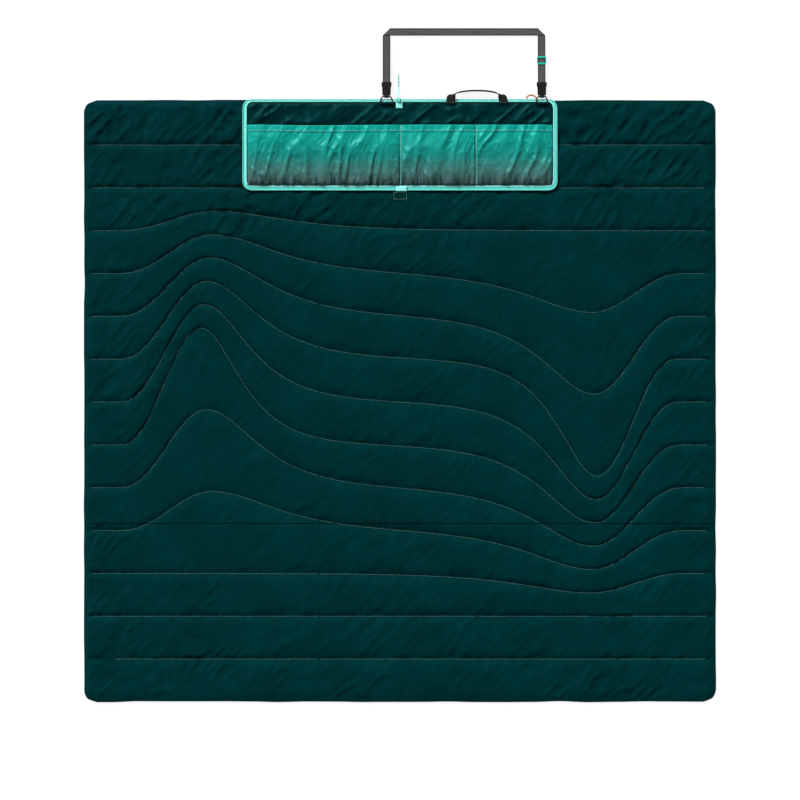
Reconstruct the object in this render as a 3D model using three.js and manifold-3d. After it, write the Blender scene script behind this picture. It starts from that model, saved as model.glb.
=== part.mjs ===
// A quilted picnic mat that folds round its own zipped pocket panel and hangs from a webbing strap.
// Millimetres. The mat lies flat: +X to the right, +Y to the strap, +Z up, and Z = 0 is its underside.
// The origin is the middle of the mat's underside.
import * as THREE from "three";
import { mergeVertices } from "three/addons/utils/BufferGeometryUtils.js";
import Module from "manifold-3d";

const wasm = await Module();
wasm.setup();
const { Manifold } = wasm;

// ---- driving dimensions ----
const MAT_WIDTH = 1575;
const MAT_LENGTH = 1500;
const MAT_CORNER = 32;
const GAP = 0.3; // left between two pieces that touch
const SHELL_THICK = 0.9;
const FILL_THICK = 10.2;
const MAT_TOP = 2 * SHELL_THICK + 2 * GAP + FILL_THICK;

// The mat folds on three lines that run along Y.
const BOOK_FOLD_X = -0.5; // just beside the origin, so that the origin lies on cloth
const SIDE_FOLD_X = 396;

const PANEL_HALF_WIDTH = 392.5;
const PANEL_BOTTOM = 523.7;
const PANEL_TOP = 752;
const PANEL_CORNER = 28;
const PANEL_THICK = 1;
const PANEL_BASE = MAT_TOP + GAP;
const PANEL_FACE = PANEL_BASE + PANEL_THICK;

// The zip's band, as distances in from the panel's outer edge.
const TEETH_WIDTH = 3;
const TEETH_TALL = 3;
const TAPE_IN = { side: 11, bottom: 12.4, top: 7.7 };
const BINDING_WIDTH = 3.4;
const BINDING_THICK = 0.8;

const POCKET_BOTTOM = 536.5;
const POCKET_MOUTH = 687;
const POCKET_SIDE = 380;
const POCKET_CORNER = 20;
const POCKET_DIVIDER_X = 189;
const POCKET_ROOM = 5.8; // open height inside a pocket
const POCKET_CLOTH = 0.9;

const SLIDER_X = -3.7;
const WIRE_R = 1.7;
const RING_BASE_Y = 740.5;
const RING_BAR_Y = 757.5;
const RING_Z = 18;
const RING_BAR_HALF = 10.5;
const RING_LEFT = { x: -33.6, baseHalf: 18.5 };
const RING_RIGHT = { x: 352.8, baseHalf: 16 };

const WEB_WIDTH = 19;
const WEB_THICK = 1.4;
const STRAP_TILT = THREE.MathUtils.degToRad(5.5); // the strap slopes from the rings to the floor
const CROSSBAR_MID = 163.9; // distances along the strap are taken from the ring's top bar
const CROSSBAR_TOP = CROSSBAR_MID + WEB_WIDTH / 2;
const ADJUSTER_MID = 91.2;

const HANDLE = { left: 125, right: 257.5, foot: 740.6, apex: 773, width: 21.5, thick: 1.8 };

// ---- helpers ----
const group = new THREE.Group();
group.name = "picnic_mat";

function toSolid(geometry) {
  const plain = geometry.index ? geometry.toNonIndexed() : geometry.clone();
  plain.deleteAttribute("normal");
  plain.deleteAttribute("uv");
  const merged = mergeVertices(plain, 1e-4);
  const mesh = new wasm.Mesh({
    numProp: 3,
    vertProperties: new Float32Array(merged.attributes.position.array),
    triVerts: new Uint32Array(merged.index.array),
  });
  mesh.merge();
  return new Manifold(mesh);
}

function toGeometry(solid) {
  const mesh = solid.getMesh();
  const position = new Float32Array(mesh.numVert * 3);
  for (let i = 0; i < mesh.numVert; i++) {
    position.set(mesh.vertProperties.subarray(i * mesh.numProp, i * mesh.numProp + 3), i * 3);
  }
  const geometry = new THREE.BufferGeometry();
  geometry.setAttribute("position", new THREE.BufferAttribute(position, 3));
  geometry.setIndex(new THREE.BufferAttribute(new Uint32Array(mesh.triVerts), 1));
  return geometry;
}

function add(name, solid, look, parent = group) {
  const material = new THREE.MeshStandardMaterial(look);
  const flat = toGeometry(solid).toNonIndexed();
  flat.computeVertexNormals();
  const mesh = new THREE.Mesh(flat, material);
  mesh.name = name;
  parent.add(mesh);
}

function block(x0, x1, y0, y1, z0, z1) {
  const geometry = new THREE.BoxGeometry(x1 - x0, y1 - y0, z1 - z0);
  return toSolid(geometry.translate((x0 + x1) / 2, (y0 + y1) / 2, (z0 + z1) / 2));
}

// A round bar along X, centred at (x, y, z).
function barX(x, y, z, halfLength, radius, sides) {
  const geometry = new THREE.CylinderGeometry(radius, radius, 2 * halfLength, sides);
  return toSolid(geometry.rotateZ(Math.PI / 2).translate(x, y, z));
}

// A round cord along a smooth route.
function cordSolid(route, radius, sides, steps) {
  const section = new THREE.Shape();
  section.absarc(0, 0, radius, 0, 2 * Math.PI, false);
  const geometry = new THREE.ExtrudeGeometry(section, {
    steps,
    curveSegments: sides,
    bevelEnabled: false,
    extrudePath: new THREE.CatmullRomCurve3(route, false, "centripetal"),
  });
  return toSolid(geometry);
}

// A flat sheet with rounded corners, given as radii {tl, tr, br, bl}.
function roundedSheet(x0, x1, y0, y1, z0, z1, radii) {
  const { tl = 0, tr = 0, br = 0, bl = 0 } = radii;
  const s = new THREE.Shape();
  s.moveTo(x0 + bl, y0);
  s.lineTo(x1 - br, y0);
  if (br) s.absarc(x1 - br, y0 + br, br, -Math.PI / 2, 0, false);
  s.lineTo(x1, y1 - tr);
  if (tr) s.absarc(x1 - tr, y1 - tr, tr, 0, Math.PI / 2, false);
  s.lineTo(x0 + tl, y1);
  if (tl) s.absarc(x0 + tl, y1 - tl, tl, Math.PI / 2, Math.PI, false);
  s.lineTo(x0, y0 + bl);
  if (bl) s.absarc(x0 + bl, y0 + bl, bl, Math.PI, 1.5 * Math.PI, false);
  const geometry = new THREE.ExtrudeGeometry(s, {
    depth: z1 - z0,
    bevelEnabled: false,
    curveSegments: 8,
  });
  return toSolid(geometry.translate(0, 0, z0));
}

// A solid swept along points, for what an extrusion can't make: a closed wire ring, or a strip that twists.
// Each point has its own "up", and the section lists [across, up] pairs.
function sweep(points, ups, section, closed) {
  const count = points.length;
  const position = [];
  points.forEach((p, i) => {
    const before = points[closed ? (i + count - 1) % count : Math.max(i - 1, 0)];
    const after = points[closed ? (i + 1) % count : Math.min(i + 1, count - 1)];
    const tangent = after.clone().sub(before).normalize();
    const side = tangent.clone().cross(ups[i]).normalize();
    const up = side.clone().cross(tangent).normalize();
    section.forEach(([a, b]) => {
      const q = p.clone().addScaledVector(side, a).addScaledVector(up, b);
      position.push(q.x, q.y, q.z);
    });
  });
  const m = section.length;
  const index = [];
  const rings = closed ? count : count - 1;
  for (let i = 0; i < rings; i++) {
    const here = i * m;
    const next = ((i + 1) % count) * m;
    for (let j = 0; j < m; j++) {
      const k = (j + 1) % m;
      index.push(here + j, here + k, next + k, here + j, next + k, next + j);
    }
  }
  if (!closed) {
    const last = (count - 1) * m;
    for (let j = 1; j < m - 1; j++) {
      index.push(0, j + 1, j, last, last + j, last + j + 1);
    }
  }
  const geometry = new THREE.BufferGeometry();
  geometry.setAttribute("position", new THREE.BufferAttribute(new Float32Array(position), 3));
  geometry.setIndex(index);
  return toSolid(geometry);
}

function roundSection(radius, sides) {
  const out = [];
  for (let i = 0; i < sides; i++) {
    const a = (-2 * Math.PI * i) / sides;
    out.push([radius * Math.cos(a), radius * Math.sin(a)]);
  }
  return out;
}

function stripSection(width, thick) {
  const w = width / 2;
  const t = thick / 2;
  return [[-w, -t], [-w, t], [w, t], [w, -t]];
}

const upAll = (points, up) => points.map(() => up);
const v3 = (x, y, z) => new THREE.Vector3(x, y, z);
const Y_AXIS = v3(0, 1, 0);
const Z_AXIS = v3(0, 0, 1);

// ---- looks ----
const cloth = (color, roughness = 0.75) => ({ color, roughness, metalness: 0 });
const TOP_CLOTH = cloth(0x053436, 0.6);
const BACK_CLOTH = cloth(0x10282b, 0.8);
const FILL = cloth(0xe9ece8, 0.95);
const PANEL_CLOTH = cloth(0x052e31, 0.6);
const ZIP_TAPE = cloth(0x5fd3c6, 0.7);
const ZIP_BRIGHT = cloth(0x8aeee2, 0.6);
const POCKET_LOOK = cloth(0x2f9a90, 0.45);
const WEBBING = cloth(0x4f4f4f, 0.8);
const BLACK_WEB = cloth(0x201f20, 0.8);
const TAN_CORD = cloth(0xbe8c50, 0.8);
const BLACK_PLASTIC = { color: 0x262626, roughness: 0.5, metalness: 0 };
const TEAL_PLASTIC = { color: 0x18b9a4, roughness: 0.4, metalness: 0 };
const ZIP_METAL = { color: 0x8aeee2, roughness: 0.35, metalness: 0.2 };
const RING_WIRE = { color: 0x33221c, roughness: 0.35, metalness: 0.6 };

// ---- the mat: four strips, each a back shell, an insulating fill and a top shell ----
function matStrip(tag, x0, x1, outer) {
  const radii = {
    tl: outer === "left" ? MAT_CORNER : 0,
    bl: outer === "left" ? MAT_CORNER : 0,
    tr: outer === "right" ? MAT_CORNER : 0,
    br: outer === "right" ? MAT_CORNER : 0,
  };
  const y0 = -MAT_LENGTH / 2;
  const y1 = MAT_LENGTH / 2;
  const backTop = SHELL_THICK;
  const topUnder = MAT_TOP - SHELL_THICK;
  add("back_shell_" + tag, roundedSheet(x0, x1, y0, y1, 0, backTop, radii), BACK_CLOTH);

  // the top shell turns down at the mat's outer edges and is open at the fold lines
  const open = 5;
  const left = outer === "left" ? x0 + SHELL_THICK : x0 - open;
  const right = outer === "right" ? x1 - SHELL_THICK : x1 + open;
  const shrink = (r) => (r ? r - SHELL_THICK : 0);
  const inside = roundedSheet(left, right, y0 + SHELL_THICK, y1 - SHELL_THICK, 0, topUnder, {
    tl: shrink(radii.tl),
    tr: shrink(radii.tr),
    br: shrink(radii.br),
    bl: shrink(radii.bl),
  });
  const skin = roundedSheet(x0, x1, y0, y1, backTop + GAP, MAT_TOP, radii);
  add("top_shell_" + tag, skin.subtract(inside), TOP_CLOTH);

  const inset = SHELL_THICK + GAP;
  const corner = (r) => (r ? r - inset : 0);
  const fill = roundedSheet(
    outer === "left" ? x0 + inset : x0,
    outer === "right" ? x1 - inset : x1,
    y0 + inset,
    y1 - inset,
    backTop + GAP,
    backTop + GAP + FILL_THICK,
    { tl: corner(radii.tl), tr: corner(radii.tr), br: corner(radii.br), bl: corner(radii.bl) },
  );
  add("fill_" + tag, fill, FILL);
}

const half = GAP / 2;
const LEFT_END = BOOK_FOLD_X - half;
const RIGHT_START = BOOK_FOLD_X + half;
matStrip("side_left", -MAT_WIDTH / 2, -SIDE_FOLD_X - half, "left");
matStrip("left", -SIDE_FOLD_X + half, LEFT_END, "none");
matStrip("right", RIGHT_START, SIDE_FOLD_X - half, "none");
matStrip("side_right", SIDE_FOLD_X + half, MAT_WIDTH / 2, "right");

// ---- the pocket panel and its zip, each cut in two at the book fold ----
function panelOutline(inset, z0, z1) {
  const r = PANEL_CORNER - Math.min(inset.side, inset.bottom, inset.top);
  return roundedSheet(
    -PANEL_HALF_WIDTH + inset.side,
    PANEL_HALF_WIDTH - inset.side,
    PANEL_BOTTOM + inset.bottom,
    PANEL_TOP - inset.top,
    z0,
    z1,
    { tl: r, tr: r, br: r, bl: r },
  );
}
const even = (d) => ({ side: d, bottom: d, top: d });
const deeper = (inset, d) => ({
  side: inset.side + d,
  bottom: inset.bottom + d,
  top: inset.top + d,
});
const band = (outer, inner, z0, z1) =>
  panelOutline(outer, z0, z1).subtract(panelOutline(inner, z0 - 1, z1 + 1));

function addHalves(name, solid, look) {
  const far = 1000;
  const leftSide = block(-far, LEFT_END, -far, far, -far, far);
  const rightSide = block(RIGHT_START, far, -far, far, -far, far);
  add(name + "_left", solid.intersect(leftSide), look);
  add(name + "_right", solid.intersect(rightSide), look);
}

const TEETH_TOP = PANEL_BASE + TEETH_TALL;
const BINDING_BASE = PANEL_FACE + GAP;
const BINDING_TOP = BINDING_BASE + BINDING_THICK;
addHalves("panel_cloth", panelOutline(deeper(TAPE_IN, GAP), PANEL_BASE, PANEL_FACE), PANEL_CLOTH);
addHalves("zip_teeth", band(even(0), even(TEETH_WIDTH), PANEL_BASE, TEETH_TOP), ZIP_BRIGHT);
addHalves("zip_tape", band(even(TEETH_WIDTH + GAP), TAPE_IN, PANEL_BASE, PANEL_FACE), ZIP_TAPE);
addHalves(
  "zip_binding",
  band(deeper(TAPE_IN, -BINDING_WIDTH), TAPE_IN, BINDING_BASE, BINDING_TOP),
  ZIP_BRIGHT,
);

// A pocket front stands off the panel: a face with walls on three sides, open to +Y.
function pocketFront(x0, x1, dividers, outer) {
  const wallBase = PANEL_FACE + GAP;
  const underFace = PANEL_FACE + POCKET_ROOM;
  const faceTop = underFace + POCKET_CLOTH;
  const round = (r, isFirst, isLast) => ({
    bl: outer === "left" && isFirst ? r : 0,
    br: outer === "right" && isLast ? r : 0,
  });
  const bottom = POCKET_BOTTOM;
  const outline = round(POCKET_CORNER, true, true);
  let front = roundedSheet(x0, x1, bottom, POCKET_MOUTH, wallBase, faceTop, outline);
  const edges = [x0, ...dividers, x1];
  for (let i = 0; i + 1 < edges.length; i++) {
    const isFirst = i === 0;
    const isLast = i + 2 === edges.length;
    const from = edges[i] + (isFirst ? POCKET_CLOTH : POCKET_CLOTH / 2);
    const to = edges[i + 1] - (isLast ? POCKET_CLOTH : POCKET_CLOTH / 2);
    const radii = round(POCKET_CORNER - POCKET_CLOTH, isFirst, isLast);
    const mouth = POCKET_MOUTH + 1;
    front = front.subtract(
      roundedSheet(from, to, bottom + POCKET_CLOTH, mouth, wallBase - 1, underFace, radii),
    );
  }
  return front;
}
add("pocket_front_left", pocketFront(-POCKET_SIDE, LEFT_END, [], "left"), POCKET_LOOK);
const rightPockets = pocketFront(RIGHT_START, POCKET_SIDE, [POCKET_DIVIDER_X], "right");
add("pocket_front_right", rightPockets, POCKET_LOOK);

// ---- cloth tabs at the two ends of the zip ----
const tabThick = 1.2;
add(
  "zip_top_tab",
  block(-10, 6.5, 728.8, 743.6, BINDING_BASE, BINDING_BASE + tabThick),
  ZIP_BRIGHT,
);
add(
  "zip_end_stop",
  block(-10, 17, 522, 534, TEETH_TOP + GAP, TEETH_TOP + GAP + 2),
  ZIP_BRIGHT,
);
add("zip_bottom_tab", block(-18, 19, 500, 521.7, PANEL_BASE, PANEL_BASE + tabThick), PANEL_CLOTH);

// ---- zip slider with its bail, and the doubled pull cord ----
const SLIDER_BASE = TEETH_TOP + GAP;
const SLIDER_PLATE = 1.2;
const BAIL_Y = 747.5;
const BAIL_Z = SLIDER_BASE + 4.4;
const BAIL_R = 0.8;
function sliderSolid() {
  const reach = 5.2;
  const plateTop = SLIDER_BASE + SLIDER_PLATE;
  let s = roundedSheet(SLIDER_X - reach, SLIDER_X + reach, 743.4, 753.4, SLIDER_BASE, plateTop, {
    tl: 2,
    tr: 2,
    br: 2,
    bl: 2,
  });
  const lip = block(
    SLIDER_X - reach + 2,
    SLIDER_X + reach - 2,
    PANEL_TOP + GAP,
    753.4,
    PANEL_BASE,
    plateTop,
  );
  s = s.add(lip);
  const bailHalf = 4.4;
  for (const side of [-1, 1]) {
    const x = SLIDER_X + side * (bailHalf - 0.6);
    s = s.add(block(x - 0.6, x + 0.6, BAIL_Y - 1.1, BAIL_Y + 1.1, plateTop - 0.2, BAIL_Z + 0.8));
  }
  return s.add(barX(SLIDER_X, BAIL_Y, BAIL_Z, bailHalf - 0.3, BAIL_R, 8));
}
add("zip_slider", sliderSolid(), ZIP_METAL);

// The pull cord is a hairpin round the slider's bail; its two ends run into a knotted grip.
const CORD_R = 0.8;
const GRIP_R = 2.4;
const GRIP_START = v3(SLIDER_X, 783, GRIP_R + 0.9);
const GRIP_END = v3(SLIDER_X, 815, GRIP_R + 0.3);
const CORD_ROUTE = [
  v3(SLIDER_X + 1.2, GRIP_START.y - 0.5, GRIP_START.z + 0.2),
  v3(SLIDER_X + 2.6, 770, 8.4),
  v3(SLIDER_X + 2.2, 758, 17.2),
  v3(SLIDER_X + 1.1, BAIL_Y + 2, BAIL_Z + 1.5),
  v3(SLIDER_X + 0.7, BAIL_Y, BAIL_Z + 2),
  v3(SLIDER_X + 0.2, BAIL_Y - 1.5, BAIL_Z + 1.3),
  v3(SLIDER_X, BAIL_Y - 2, BAIL_Z),
  v3(SLIDER_X - 0.2, BAIL_Y - 1.5, BAIL_Z - 1.3),
  v3(SLIDER_X - 0.7, BAIL_Y, BAIL_Z - 1.95),
  v3(SLIDER_X - 1.5, BAIL_Y + 2.5, BAIL_Z - 1.9),
  v3(SLIDER_X - 2, 755.2, 18.2),
  v3(SLIDER_X - 2.3, 760, 14.6),
  v3(SLIDER_X - 2.6, 770, 7.8),
  v3(SLIDER_X - 1.2, GRIP_START.y - 0.5, GRIP_START.z - 0.2),
];
add("pull_cord", cordSolid(CORD_ROUTE, CORD_R, 8, 60), ZIP_BRIGHT);

// The grip is a row of knots, turned about the line from its start to its end.
function gripSolid() {
  const along = GRIP_END.clone().sub(GRIP_START);
  const length = along.length();
  const knots = 4;
  const profile = [new THREE.Vector2(0, 0)];
  for (let i = 0; i <= 2 * knots; i++) {
    const radius = i % 2 ? GRIP_R : 0.78 * GRIP_R;
    profile.push(new THREE.Vector2(radius, (i / (2 * knots)) * length));
  }
  profile.push(new THREE.Vector2(0, length));
  const geometry = new THREE.LatheGeometry(profile, 10);
  const turn = new THREE.Quaternion().setFromUnitVectors(Y_AXIS, along.normalize());
  geometry.applyQuaternion(turn);
  return toSolid(geometry.translate(GRIP_START.x, GRIP_START.y, GRIP_START.z));
}
add("pull_grip", gripSolid(), ZIP_BRIGHT);

// ---- wire rings, each held by a webbing sleeve at the panel's top seam ----
function ringSolid(ring) {
  const corners = [
    v3(ring.x - ring.baseHalf, RING_BASE_Y, RING_Z),
    v3(ring.x + ring.baseHalf, RING_BASE_Y, RING_Z),
    v3(ring.x + RING_BAR_HALF, RING_BAR_Y, RING_Z),
    v3(ring.x - RING_BAR_HALF, RING_BAR_Y, RING_Z),
  ];
  const bend = 3;
  const path = [];
  corners.forEach((c, i) => {
    const before = corners[(i + 3) % 4].clone().sub(c).normalize();
    const after = corners[(i + 1) % 4].clone().sub(c).normalize();
    const from = c.clone().addScaledVector(before, bend);
    const to = c.clone().addScaledVector(after, bend);
    for (const t of [0, 0.25, 0.5, 0.75, 1]) {
      const a = from.clone().lerp(c, t);
      const b = c.clone().lerp(to, t);
      path.push(a.lerp(b, t));
    }
  });
  return sweep(path, upAll(path, Z_AXIS), roundSection(WIRE_R, 12), true);
}

const SLEEVE_WALL = 1.1;
const SLEEVE_HALF = 13;
function sleeveSolid(x) {
  const bore = WIRE_R + GAP;
  const outer = bore + SLEEVE_WALL;
  const tube = barX(x, RING_BASE_Y, RING_Z, SLEEVE_HALF, outer, 20);
  const tail = block(
    x - SLEEVE_HALF,
    x + SLEEVE_HALF,
    RING_BASE_Y - 7,
    RING_BASE_Y,
    BINDING_BASE,
    BINDING_BASE + 1,
  );
  return tube.add(tail).subtract(barX(x, RING_BASE_Y, RING_Z, SLEEVE_HALF + 1, bore, 20));
}
add("ring_left", ringSolid(RING_LEFT), RING_WIRE);
add("ring_right", ringSolid(RING_RIGHT), RING_WIRE);
add("ring_sleeve_left", sleeveSolid(RING_LEFT.x), BLACK_WEB);
add("ring_sleeve_right", sleeveSolid(RING_RIGHT.x), BLACK_WEB);

// ---- the strap: drawn flat from the rings' top bar, then tilted down to the floor ----
const strap = new THREE.Group();
strap.position.set(0, RING_BAR_Y, RING_Z);
strap.rotation.x = -STRAP_TILT;
group.add(strap);
const onStrap = (name, solid, look) => add(name, solid, look, strap);

const CLIP_LENGTH = 36;
const CLIP_THICK = 6.4;
const WEB_POCKET = 8; // depth the webbing runs into a clip
const WEB_END = CLIP_LENGTH - WEB_POCKET;
const webHalf = WEB_WIDTH / 2;
const webTop = WEB_THICK / 2;
const RETURN_TOP = -webTop - GAP;
const RETURN_BASE = RETURN_TOP - WEB_THICK;

// A clip: an eye round the ring's bar, a ribbed tapering body and a wider bar where the webbing goes in.
function clipSolid(x, slotBase) {
  const bodyStart = 3.2;
  const headStart = 25;
  const taper = new THREE.Shape();
  taper.moveTo(x - 10.3, bodyStart);
  taper.lineTo(x + 10.3, bodyStart);
  taper.lineTo(x + 11, headStart);
  taper.lineTo(x + 12.5, headStart + 1);
  taper.lineTo(x + 12.5, CLIP_LENGTH - 1);
  taper.lineTo(x + 11.5, CLIP_LENGTH);
  taper.lineTo(x - 11.5, CLIP_LENGTH);
  taper.lineTo(x - 12.5, CLIP_LENGTH - 1);
  taper.lineTo(x - 12.5, headStart + 1);
  taper.lineTo(x - 11, headStart);
  taper.closePath();
  const body = new THREE.ExtrudeGeometry(taper, { depth: CLIP_THICK, bevelEnabled: false });
  let clip = toSolid(body.translate(0, 0, -CLIP_THICK / 2));
  const bore = WIRE_R + GAP;
  const neck = block(x - 6, x + 6, 0, bodyStart + 0.5, -CLIP_THICK / 2, CLIP_THICK / 2);
  clip = clip.add(neck).add(barX(x, 0, 0, 6, bore + 1.6, 16));
  for (let i = -2; i <= 2; i++) {
    const ribX = x + i * 3.7;
    const ribTop = CLIP_THICK / 2 + 0.7;
    clip = clip.add(block(ribX - 0.8, ribX + 0.8, 5, headStart - 1.5, CLIP_THICK / 2 - 0.2, ribTop));
  }
  clip = clip.subtract(barX(x, 0, 0, 40, bore, 16));
  const slotHalf = webHalf + GAP;
  const slot = block(
    x - slotHalf,
    x + slotHalf,
    WEB_END - GAP,
    CLIP_LENGTH + 1,
    slotBase,
    webTop + GAP,
  );
  return clip.subtract(slot);
}
onStrap("clip_left", clipSolid(RING_LEFT.x, -webTop - GAP), BLACK_PLASTIC);
onStrap("clip_right", clipSolid(RING_RIGHT.x, RETURN_BASE - GAP), BLACK_PLASTIC);

// A leg and the crossbar meet in a flat 45-degree fold, doubled where they cross.
const leg = (x, to) => block(x - webHalf, x + webHalf, WEB_END, to, -webTop, webTop);
function foldCorner(x, side) {
  const inner = CROSSBAR_TOP - WEB_WIDTH;
  const fold = new THREE.Shape();
  const out = x - side * webHalf;
  const into = x + side * webHalf;
  fold.moveTo(out, inner);
  fold.lineTo(into, inner);
  fold.lineTo(into, CROSSBAR_TOP);
  fold.closePath();
  const flap = new THREE.ExtrudeGeometry(fold, { depth: 2 * WEB_THICK, bevelEnabled: false });
  return toSolid(flap.translate(0, 0, -webTop));
}
const crossbar = (x0, x1) =>
  block(x0, x1, CROSSBAR_TOP - WEB_WIDTH, CROSSBAR_TOP, -webTop, webTop);
const legTop = CROSSBAR_TOP - WEB_WIDTH + 0.01;

const webLeft = leg(RING_LEFT.x, legTop)
  .add(foldCorner(RING_LEFT.x, 1))
  .add(crossbar(RING_LEFT.x + webHalf - 0.01, LEFT_END));
onStrap("strap_web_left", webLeft, WEBBING);
const webRight = leg(RING_RIGHT.x, legTop)
  .add(foldCorner(RING_RIGHT.x, -1))
  .add(crossbar(RIGHT_START, RING_RIGHT.x - webHalf + 0.01));
onStrap("strap_web_right", webRight, WEBBING);

// The webbing's end turns back under the right leg, from the clip up to the adjuster's middle bar.
const FRAME_HALF = { across: 11.2, along: 10 };
const BAR = 4;
const middleBarFrom = ADJUSTER_MID - BAR / 2;
onStrap(
  "strap_web_return",
  block(
    RING_RIGHT.x - webHalf,
    RING_RIGHT.x + webHalf,
    WEB_END,
    middleBarFrom - GAP,
    RETURN_BASE,
    RETURN_TOP,
  ),
  WEBBING,
);

// The adjuster: two outer bars over the webbing, a middle bar under it, joined by side cheeks.
function adjusterSolid() {
  const { x } = RING_RIGHT;
  const overBase = webTop + GAP;
  const overTop = overBase + 2.2;
  const underBase = RETURN_BASE - 0.6;
  const outline = roundedSheet(
    x - FRAME_HALF.across,
    x + FRAME_HALF.across,
    ADJUSTER_MID - FRAME_HALF.along,
    ADJUSTER_MID + FRAME_HALF.along,
    underBase,
    overTop,
    { tl: 2, tr: 2, br: 2, bl: 2 },
  );
  const reach = webHalf + GAP;
  const webWay = block(
    x - reach,
    x + reach,
    ADJUSTER_MID - 20,
    ADJUSTER_MID + 20,
    RETURN_TOP,
    overBase,
  );
  const window_ = block(
    x - reach,
    x + reach,
    ADJUSTER_MID - FRAME_HALF.along + BAR,
    ADJUSTER_MID + FRAME_HALF.along - BAR,
    overBase - 0.1,
    overTop + 1,
  );
  const under = (from, to) => block(x - reach, x + reach, from, to, underBase - 1, RETURN_TOP + 0.1);
  return outline
    .subtract(webWay)
    .subtract(window_)
    .subtract(under(ADJUSTER_MID - 20, middleBarFrom))
    .subtract(under(ADJUSTER_MID + BAR / 2, ADJUSTER_MID + 20));
}
onStrap("adjuster", adjusterSolid(), TEAL_PLASTIC);

// ---- the carry handle: webbing sewn flat at both feet that turns on edge along its arch ----
function handleSolid() {
  const mid = (HANDLE.left + HANDLE.right) / 2;
  const footZ = TEETH_TOP + GAP + HANDLE.thick / 2;
  const midZ = HANDLE.width / 2 + 0.6;
  const span = mid - HANDLE.left;
  const side = [
    v3(0, HANDLE.foot, footZ),
    v3(0.5, 747, footZ + 0.3),
    v3(2, 754, footZ + 0.8),
    v3(7, 761.5, 15.2),
    v3(16, 767, midZ + 0.8),
    v3(30, 770.4, midZ),
    v3(47, HANDLE.apex - 0.5, midZ),
  ];
  const arch = [
    ...side.map((p) => v3(HANDLE.left + p.x, p.y, p.z)),
    v3(mid, HANDLE.apex, midZ),
    ...side.reverse().map((p) => v3(HANDLE.right - p.x, p.y, p.z)),
  ];
  const points = new THREE.CatmullRomCurve3(arch, false, "centripetal").getSpacedPoints(56);
  const ups = points.map((p) => {
    const inward = 1 - Math.abs(p.x - mid) / span;
    const turn = THREE.MathUtils.smoothstep(inward, 0.08, 0.36);
    return Z_AXIS.clone().multiplyScalar(1 - turn).addScaledVector(Y_AXIS, turn).normalize();
  });
  return sweep(points, ups, stripSection(HANDLE.width, HANDLE.thick), false);
}
add("handle_web", handleSolid(), BLACK_WEB);

// ---- a short loop of cord sewn into the mat's edge beside the right ring ----
const LOOP = { left: 315.5, right: 338.5, out: 763, r: 2, z: 7.5 };
const loopArch = [
  v3(LOOP.left, MAT_LENGTH / 2 + GAP, LOOP.z + 0.4),
  v3(LOOP.left + 0.3, 756, LOOP.z - 1.2),
  v3(LOOP.left + 3.5, 760.6, LOOP.z - 3),
  v3((LOOP.left + LOOP.right) / 2, LOOP.out, LOOP.z - 4),
  v3(LOOP.right - 3.5, 760.6, LOOP.z - 3),
  v3(LOOP.right - 0.3, 756, LOOP.z - 1.2),
  v3(LOOP.right, MAT_LENGTH / 2 + GAP, LOOP.z + 0.4),
];
const beyondEdge = block(300, 360, MAT_LENGTH / 2 + GAP, 800, -10, 30);
add("cord_loop", cordSolid(loopArch, LOOP.r, 10, 30).intersect(beyondEdge), TAN_CORD);

export default group;
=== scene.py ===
import math

import bmesh
import bpy
import numpy as np
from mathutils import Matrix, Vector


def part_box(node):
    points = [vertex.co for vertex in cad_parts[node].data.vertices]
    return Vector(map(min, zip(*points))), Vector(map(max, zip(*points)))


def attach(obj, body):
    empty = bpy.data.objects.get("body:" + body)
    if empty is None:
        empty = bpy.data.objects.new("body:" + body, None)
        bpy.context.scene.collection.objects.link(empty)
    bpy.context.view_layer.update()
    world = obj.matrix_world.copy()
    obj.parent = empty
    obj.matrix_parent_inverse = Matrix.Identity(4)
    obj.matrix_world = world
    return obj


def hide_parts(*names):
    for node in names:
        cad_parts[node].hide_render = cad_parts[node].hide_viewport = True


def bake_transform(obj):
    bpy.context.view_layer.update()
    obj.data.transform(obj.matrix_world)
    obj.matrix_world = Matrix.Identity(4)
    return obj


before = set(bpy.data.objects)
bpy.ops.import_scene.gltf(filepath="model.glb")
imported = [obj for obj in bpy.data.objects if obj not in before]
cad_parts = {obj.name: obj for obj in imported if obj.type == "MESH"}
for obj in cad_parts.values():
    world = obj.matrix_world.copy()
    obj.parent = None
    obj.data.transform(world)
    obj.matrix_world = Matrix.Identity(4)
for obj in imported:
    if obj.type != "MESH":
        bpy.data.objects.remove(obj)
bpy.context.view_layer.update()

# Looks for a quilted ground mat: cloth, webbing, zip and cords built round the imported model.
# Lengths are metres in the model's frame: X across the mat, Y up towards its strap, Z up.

MM = 0.001


# ---- the camera comes first ----

EYE_HEIGHT = 6.0
EYE_Y = 2.5 * MM
LENS = 108.2


def make_camera():
    data = bpy.data.cameras.new("camera")
    data.sensor_width = 36
    data.lens = LENS
    eye = bpy.data.objects.new("camera", data)
    eye.location = (0, EYE_Y, EYE_HEIGHT)
    bpy.context.collection.objects.link(eye)
    bpy.context.scene.camera = eye


make_camera()


# ---- small tools ----

def unit(vectors):
    return vectors / np.linalg.norm(vectors, axis=-1, keepdims=True)


def smooth(low, high, value):
    """0 below low, 1 above high and an easy curve between."""
    t = np.clip((value - low) / (high - low), 0, 1)
    return t * t * (3 - 2 * t)


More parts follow.
